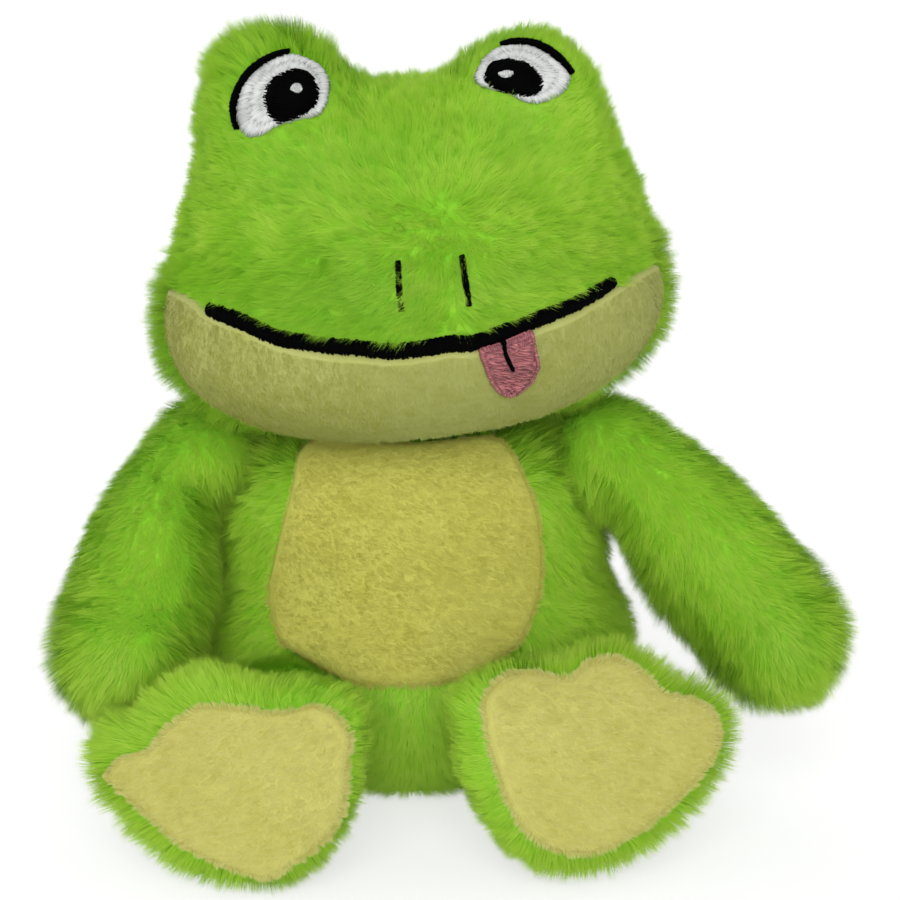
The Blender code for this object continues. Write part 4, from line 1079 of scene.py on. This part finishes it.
white_thread = thread_material(
    "white satin thread", (0.60, 0.61, 0.60), (0.42, 0.43, 0.42), 0.4, 0.35, 0.35
)
pink_thread = thread_material(
    "pink satin thread", (0.47, 0.155, 0.17), (0.12, 0.03, 0.038), 1.4, 0.3, 0.5
)
for side_name in SIDES:
    white_outline = smooth_line(EYE_WHITES[side_name], WHITE_STITCHES, closed=True)
    pupil_outline = smooth_line(PUPILS[side_name], 60, closed=True)
    glint_outline = smooth_line(GLINTS[side_name], 24, closed=True)
    middle = pupil_outline.mean(axis=0)
    whole = white_outline - middle
    runs = []
    for near, far, uneven, thick in WHITE_ROWS:
        near = middle + whole * (near + 0.07 * dice.uniform(-1, 1, (WHITE_STITCHES, 1)))
        far = middle + whole * (far + uneven * dice.uniform(-1, 1, (WHITE_STITCHES, 1)))
        runs.append(stitched(near, far, WHITE_LIFT, 0.00035, THREAD * thick, dice))
    embroider(
        f"eye_{side_name}", f"eye_white_{side_name}", runs,
        underlay_of(white_outline, WHITE_LIFT), white_thread,
    )
    slant = PUPIL_SLANTS[side_name]
    for part, outline, slant, lift, material, slot in (
        ("pupil", pupil_outline, slant, PUPIL_LIFT, black_thread, "black_thread"),
        ("eye_glint", glint_outline, slant + 70, GLINT_LIFT, white_thread, "white_thread"),
    ):
        starts, ends = scan(outline, THREAD_DEGREES * 0.7, slant)
        middle = outline.mean(axis=0)
        starts, ends = ragged(starts, middle, 0.04, dice), ragged(ends, middle, 0.04, dice)
        runs = [stitched(starts, ends, lift, 0.0003, THREAD, dice)]
        embroider(
            f"{part}_stitches_{side_name}", f"{part}_{side_name}", runs, underlay_of(outline, lift),
            material,
        )

tongue_outline = smooth_line(TONGUE, 90, closed=True)
middle = tongue_outline.mean(axis=0)
inward = tongue_outline - middle
starts, ends = scan(middle + inward * 0.86, THREAD_DEGREES * 1.1, -12)
cut = dice.uniform(0.2, 0.8, (len(starts), 2, 1))
cut.sort(axis=1)
near, far = starts + (ends - starts) * cut[:, 0], starts + (ends - starts) * cut[:, 1]
border = ragged(tongue_outline, middle, 0.02, dice)
runs = [
    stitched(one, other, TONGUE_LIFT, 0.0004, THREAD, dice)
    for one, other in ((starts, near), (near, far), (far, ends), (middle + inward * 0.82, border))
]
embroider(
    "tongue_stitches", "tongue", runs, underlay_of(tongue_outline, TONGUE_LIFT), pink_thread,
)


# Torso: a pear of green plush stuffed with fibre, with a pouch of pellets in its flat seat. Its
# cloth dips where the neck, arms and legs are sewn on, and the pile lies downwards.

TORSO_HEART = np.array((0.0, -0.003, 0.046))
TORSO_REACH = 0.110
TORSO_SPAN = 0.15  # from its heart to well outside it
SEAT = 0.0004
SHOULDER = np.array((0.0512, -0.004, 0.0843))
HIP = np.array((0.031, -0.050, 0.0265))
ARM_ROOT = 0.0165
LEG_ROOT = 0.0170
ROOT_OVERLAP = 0.002
DOWN = np.array((0, 0, -1.0))
BELLY_MIDDLE = np.array((0.0, 24.0))
BELLY_DEGREE = 0.00088
BELLY_SQUEEZE = 0.9
BELLY_ROWS = 34
BELLY = (
    (-50.9, 52.2), (-47.0, 44.3), (-46.6, 35.1), (-49.0, 23.7), (-49.8, 13.1), (-44.5, 3.9),
    (-38.0, -1.8), (-29.2, -6.0), (-17.7, -8.8), (-3.1, -9.4), (9.7, -8.9), (21.9, -6.6),
    (31.8, -2.9), (38.8, 3.0), (46.8, 12.3), (49.7, 22.1), (49.8, 31.6), (49.9, 39.4),
    (49.2, 46.4), (49.6, 52.5), (47.0, 58.0), (34.0, 60.8), (12.0, 62.0), (-12.0, 62.0),
    (-34.0, 60.8), (-48.0, 58.0),
)
belly_outline = smooth_line(BELLY, 120, closed=True)


def sided(point, side):
    return np.asarray(point) * np.array([side, 1, 1])


def torso_gap(points):
    """How far points are from the belly's panel; below 0 on it."""
    angles = angles_of(points - TORSO_HEART)
    return BELLY_DEGREE * outside_by(belly_outline, angles, BELLY_SQUEEZE)


def depth_in_torso(points):
    """How deep points lie inside the torso's surface, seen from its heart."""
    away = points - TORSO_HEART
    reach = np.linalg.norm(away, axis=1)
    return met_at(torso_ground.tree, TORSO_HEART, away / reach[:, None], TORSO_SPAN) - reach


torso_cores = np.broadcast_to(TORSO_HEART, ball_corners.shape)
torso = plush_shape("torso_cloth", torso_cores, ball_corners, ball_faces, TORSO_REACH, BODY_EASING)
falling = np.minimum(ball_corners[:, 2], -1e-3)
to_seat = np.where(ball_corners[:, 2] < -0.05, (SEAT - TORSO_HEART[2]) / falling, 1)
torso["radii"] = np.minimum(torso["radii"], to_seat)
torso["points"] = sunk(torso, 0)
torso["normals"] = normals_of(torso["points"], ball_faces)
torso["gap"] = torso_gap(torso["points"])
torso_ground = Ground(torso, rays_to(TORSO_HEART, np.eye(3), TORSO_REACH), TORSO_REACH)
seated = fade(torso["points"][:, 2], 0, 0.012)
dress(torso, pile_depths(torso, 40) * seated, "torso")

dice = np.random.default_rng(41)
places, ups = scattered(torso["cloth"], torso["normals"], ball_faces, PILE_DENSITY, dice)
gap = torso_gap(places)
free = (gap > CLOSE_TO) & (np.linalg.norm(places - NECK, axis=1) > NECK_BALL)
free &= (places[:, 2] > 0.002) | (ups[:, 2] > -0.8)
for side in SIDES.values():
    for point, root in ((SHOULDER, ARM_ROOT), (HIP, LEG_ROOT)):
        free &= np.linalg.norm(places - sided(point, side), axis=1) > root - ROOT_OVERLAP
places, ups, gap = places[free], ups[free], gap[free]
away = unit((places - TORSO_HEART) * [1, 0.3, 0])
lengths, flows = shaped(
    PILE_LENGTH * (0.8 + 0.2 * fade(gap, 0, PILE_EDGE)),
    laid(away * 0.55 + DOWN, ups),
    (fade(np.abs(places[:, 0]), 0.022, 0.077), 0.35, 0),
    (fade(places[:, 2], 0.080, 0.090), 0.7, 0.7),
)
lengths = clear_of(torso_gap, places, gap, flows, lengths, 0.0003, 0.0014, dice)
# Painted light: the torso's pile is tinted paler throughout than the head's.
grow(
    "torso_pile", "torso", green_pile, LONG_PILE,
    places, ups, flows, lengths, dice, 0.35,
)


# Belly: a panel of short yellow plush let into the torso's front. Its pile lies to the frog's
# left, and stands out a little paler over the seam.

yellow_backing = cloth("yellow plush backing", (0.46, 0.44, 0.07), (0.50, 0.49, 0.10))
yellow_pile = pile_material(
    "short yellow pile", (0.34, 0.325, 0.036), (0.44, 0.425, 0.064), (0.505, 0.49, 0.092)
)
shares = np.linspace(0.03, 1, BELLY_ROWS)[:, None, None]
grid = BELLY_MIDDLE + (belly_outline - BELLY_MIDDLE) * shares
belly_gap = -BELLY_DEGREE * outside_by(belly_outline, grid.reshape(-1, 2), BELLY_SQUEEZE)
belly_face = make_patch(
    "belly", torso_ground, grid, belly_gap, True, yellow_backing, "torso",
    "belly_panel",
)
short_pile(
    "belly_pile", "torso", yellow_pile, belly_face, (1, 0, -0.4), (0, 0, 1), 42,
    lambda points: -torso_gap(points), TORSO_HEART,
)


# Arms: soft tubes of green plush that swell towards rounded hands without fingers, stuffed more
# loosely than the body and sewn on at the shoulders. The pile lies towards the hand.

ARM_ENDS = {  # the end of each arm's core, and how far its middle bows
    "right": ((-0.0705, -0.045, 0.045), (-0.005, 0.002, 0.002)),
    "left": ((0.094, -0.031, 0.0445), (0.003, 0.001, 0.004)),
}
ARM_PILE = {**LONG_PILE, "pull": 0.18, "loose": 16}
LIMB_REACH = 0.040
LIMB_EASING = 14
BURIED = 0.0005  # strands deeper than this in the torso are left out
TUBE_SHARE = 0.72  # of the ball's height that becomes the tube, the rest being its rounded ends
TUBE_LEVEL = 6
tube_corners, tube_faces = round_mesh(TUBE_LEVEL)


def tube_cores(root, end, bow):
    """Cores and aims of a ball's corners drawn out along a bent line from root to end."""
    knee = (root + end) / 2 + bow
    height = tube_corners[:, 2]
    share = np.clip((height / TUBE_SHARE + 1) / 2, 0, 1)[:, None]
    cores = root * (1 - share) ** 2 + 2 * knee * share * (1 - share) + end * share**2
    along = unit((knee - root) * (1 - share) + (end - knee) * share)
    side = unit(np.cross(along, (1.0, 0.25, 0.1)))
    level = unit(tube_corners[:, :2])
    level = level[:, :1] * side + level[:, 1:] * np.cross(along, side)
    polar = np.clip((np.abs(height) - TUBE_SHARE) / (1 - TUBE_SHARE), 0, 1)[:, None] * math.pi / 2
    return cores, unit(np.cos(polar) * level + np.sin(polar) * np.sign(height)[:, None] * along)


for side_name, side in SIDES.items():
    body = f"arm_{side_name}"
    end, bow = np.array(ARM_ENDS[side_name])
    root = sided(SHOULDER, side)
    cores, aims = tube_cores(root, end, bow)
    arm = plush_shape(f"arm_cloth_{side_name}", cores, aims, tube_faces, LIMB_REACH, LIMB_EASING)
    from_root = np.linalg.norm(arm["points"] - root, axis=1)
    arm["gap"] = SINK_BAND * np.maximum(fade(from_root, ARM_ROOT - 0.004, ARM_ROOT + 0.004), 0.15)
    dress(arm, pile_depths(arm, 50 + side, 0.4), body)

    dice = np.random.default_rng(50 + side)
    places, ups = scattered(arm["cloth"], arm["normals"], tube_faces, PILE_DENSITY, dice)
    free = depth_in_torso(places) < BURIED
    places, ups = places[free], ups[free]
    along = unit(end - root)
    share = (places - root) @ along / np.linalg.norm(end - root)
    hand = fade(share, 0.65, 1)
    inner = fade(-side * ups[:, 0], 0, 0.625) * fade(share, 0.85, 0.55)
    lengths, flows = shaped(
        PILE_LENGTH, laid(along + DOWN * 0.35, ups), (hand, 0.4, 0.45), (inner, 0.4, 0.15)
    )
    # Painted light: the arms' pile is tinted paler than the head's, the frog's right arm most.
    grow(
        f"arm_pile_{side_name}", body, green_pile, ARM_PILE,
        places, ups, flows, lengths, dice, 0.45 - 0.15 * side,
    )


# Legs and feet: a short stuffed leg sewn at the hip, and a broad foot of three toes sewn to it.
# Each foot's face is a sole of short pale pile, and long green pile stands round it.

ANKLE = (0.0385, -0.069, 0.0275)
ANKLE_BALL = 0.014  # round the ankle the foot has no pile
FOOT_CORE = 0.012  # and inside the foot the leg has none
LEG_PILE = {**LONG_PILE, "pull": 0.15, "loose": 14}
FOOT_HALF_WIDTH = 0.0380
FOOT_HALF_HEIGHT = 0.0280
FOOT_THICKNESS = 0.026
FOOT_REACH = 0.060
FOOT_EASING = 8
SOLE_CENTRES = {"right": (-0.0410, -0.0915, 0.0272), "left": (0.0440, -0.0895, 0.0305)}
SOLE_TURN = 14.0
SOLE_LEAN = 15.0
SOLE_ROLLS = {"right": -6.0, "left": 2.0}
SOLE_ROWS = 26
SOLES = {  # places on each sole's plane, outwards and up from its centre, in millimetres
    "right": (
        (32.5, 2.7), (27.5, 7.0), (20.6, 8.5), (17.6, 12.1), (13.3, 15.5), (7.7, 18.5),
        (2.2, 18.4), (-4.1, 17.6), (-10.4, 16.8), (-14.9, 16.9), (-19.5, 18.2), (-23.9, 17.0),
        (-26.9, 14.0), (-28.3, 10.5), (-27.4, 3.7), (-26.2, -4.0), (-23.7, -10.0), (-19.1, -15.1),
        (-12.6, -19.4), (-7.1, -22.4), (-0.8, -20.6), (5.5, -18.0), (13.6, -14.0), (19.8, -8.8),
        (26.1, -3.5), (30.6, 0.1),
    ),
    "left": (
        (-24.3, 11.7), (-24.5, 16.4), (-22.1, 20.2), (-18.1, 22.5), (-12.7, 23.2), (-7.3, 22.0),
        (-2.8, 21.4), (-0.1, 23.4), (4.5, 25.4), (9.1, 25.4), (13.6, 23.2), (17.1, 20.0),
        (19.8, 17.2), (24.3, 15.7), (29.8, 14.1), (33.0, 11.7), (34.4, 7.7), (34.1, 3.8),
        (31.2, -0.9), (26.5, -5.5), (20.8, -10.4), (14.2, -14.8), (8.7, -17.5), (2.3, -19.7),
        (-4.1, -19.7), (-9.4, -18.1), (-15.6, -13.4), (-19.4, -6.7), (-22.2, 2.1), (-23.7, 7.3),
    ),
}
pale_backing = cloth("pale plush backing", (0.45, 0.43, 0.10), (0.50, 0.48, 0.13))
pale_pile = pile_material(
    "short pale pile", (0.42, 0.39, 0.075), (0.53, 0.50, 0.12), (0.59, 0.57, 0.18)
)

for side_name, side in SIDES.items():
    body = f"leg_{side_name}"
    hip, ankle = sided(HIP, side), sided(ANKLE, side)
    cores, aims = tube_cores(hip, ankle, 0)
    leg = plush_shape(f"leg_cloth_{side_name}", cores, aims, tube_faces, LIMB_REACH, LIMB_EASING)
    leg["gap"] = np.full(len(cores), SINK_BAND)
    dress(leg, pile_depths(leg, 55 + side), body)

    centre = np.array(SOLE_CENTRES[side_name])
    spun = turn("z", side * SOLE_TURN) @ turn("x", -SOLE_LEAN) @ turn("y", SOLE_ROLLS[side_name])
    outer, up, out = spun @ [side, 0, 0], spun @ [0, 0, 1], spun @ [0, -1, 0]
    middle = centre - out * FOOT_THICKNESS / 2
    flat = tube_corners * [FOOT_HALF_WIDTH, FOOT_THICKNESS / 2, FOOT_HALF_HEIGHT]
    aims = unit(flat[:, :1] * outer + flat[:, 1:2] * -out + flat[:, 2:] * up)
    foot_faces = tube_faces if side > 0 else tube_faces[:, ::-1]
    cores = np.broadcast_to(middle, aims.shape)
    foot = plush_shape(
        f"foot_cloth_{side_name}", cores, aims, foot_faces, FOOT_REACH, FOOT_EASING
    )
    sole_outline = smooth_line(SOLES[side_name], 120, closed=True) / 1000

    def foot_gap(points):
        """How far points are from the sole; below 0 on it."""
        away = points - centre
        gap = outside_by(sole_outline, np.stack([away @ outer, away @ up], -1), 1)
        return np.where(away @ out < -FOOT_THICKNESS * 0.5, 0.02, gap)

    def sole_rays(places):
        starts = centre + places[:, :1] * outer + places[:, 1:] * up + out * 0.02
        return starts, np.broadcast_to(-out, starts.shape)

    foot["gap"] = foot_gap(foot["points"])
    dress(foot, pile_depths(foot, 60 + side), body)

    grid = sole_outline * np.linspace(0.03, 1, SOLE_ROWS)[:, None, None]
    sole_face = make_patch(
        f"sole_cloth_{side_name}", Ground(foot, sole_rays, FOOT_REACH), grid,
        -outside_by(sole_outline, grid.reshape(-1, 2), 1), True, pale_backing,
        body, f"sole_{side_name}",
    )
    short_pile(
        f"sole_pile_{side_name}", body, pale_pile, sole_face, outer - up * 0.5, up,
        60 + side, lambda points: -foot_gap(points), centre,
    )

    dice = np.random.default_rng(70 + side)
    for part, shape in (("leg", leg), ("foot", foot)):
        surface = shape["cloth"], shape["normals"], shape["faces"]
        places, ups = scattered(*surface, PILE_DENSITY, dice)
        buried = depth_in_torso(places)
        joint, bare = (ankle, ANKLE_BALL) if part == "foot" else (middle, FOOT_CORE)
        free = (buried < BURIED) & (np.linalg.norm(places - joint, axis=1) > bare)
        gap = foot_gap(places)
        if part == "foot":
            free &= gap > CLOSE_TO
        places, ups, gap, buried = (x[free] for x in (places, ups, gap, buried))
        lengths = PILE_LENGTH * (0.8 + 0.2 * fade(buried, 0, -0.007))
        if part == "foot":
            away = unit(places - middle)
            flows = laid(away - out * 0.25, ups)
            flows = flows * (0.25 + 0.75 * fade(gap, 0, PILE_EDGE))[:, None]
            lengths = lengths * (1.05 + 0.35 * (away @ outer))
            lengths = clear_of(foot_gap, places, gap, flows, lengths, 0.0003, 0.0012, dice)
        else:
            flows = laid(np.broadcast_to(ankle - hip, places.shape), ups)
            lengths = lengths * 1.05
        # Painted light: the leg and foot pile is tinted paler, and paler still round each sole.
        grow(
            f"{part}_pile_{side_name}", body, green_pile, LEG_PILE,
            places, ups, flows, lengths, dice, 0.3 + 0.3 * fade(gap, 0.012, 0),
        )


# Out of sight: the turned-in seam cloth at each joint, drawn in so that the pile hides it, with
# pile of its own at the neck. The pouch of pellets in the seat and the ladder stitch that closes
# the back under the pile stay the CAD's own solids.

SEAM_TUCK = 0.8  # of each seam band's size
NECK_PILE_LENGTH = 0.0055
SEAMS = (
    ("neck_seam", "neck"),
    ("shoulder_seam_right", "shoulder_right"),
    ("shoulder_seam_left", "shoulder_left"),
    ("hip_seam_right", "hip_right"),
    ("hip_seam_left", "hip_left"),
)
seam_cloth = cloth("seam cloth", (0.27, 0.57, 0.018), (0.31, 0.58, 0.03), 1600, bump=0.6)
for node, body in SEAMS:
    points, faces = solid_of(node)
    points = np.array(points)
    points = points.mean(axis=0) + (points - points.mean(axis=0)) * SEAM_TUCK
    make_piece(f"{node}_band", points, faces, seam_cloth, body, [node], smooth=False)
    if body == "neck":
        dice = np.random.default_rng(90)
        faces = np.array(faces)
        places, ups = scattered(points, normals_of(points, faces), faces, PILE_DENSITY, dice)
        ups = unit((places - NECK) * [1, 1, 0.2])
        downwards = laid(np.broadcast_to(DOWN, ups.shape), ups)
        grow(
            "neck_pile", body, green_pile, LONG_PILE,
            places, ups, downwards, np.full(len(places), NECK_PILE_LENGTH), dice,
        )

pouch_cloth = cloth("pouch cloth", (0.72, 0.69, 0.60), (0.78, 0.75, 0.67), 900, bump=0.8)
sewing_thread = cloth(
    "green sewing thread", (0.10, 0.32, 0.02), (0.12, 0.36, 0.03), 3000, roughness=0.6, bump=0.8
)
for node, material in (("bean_bag", pouch_cloth), ("closing_seam", sewing_thread)):
    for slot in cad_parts[node].material_slots:
        slot.material = material
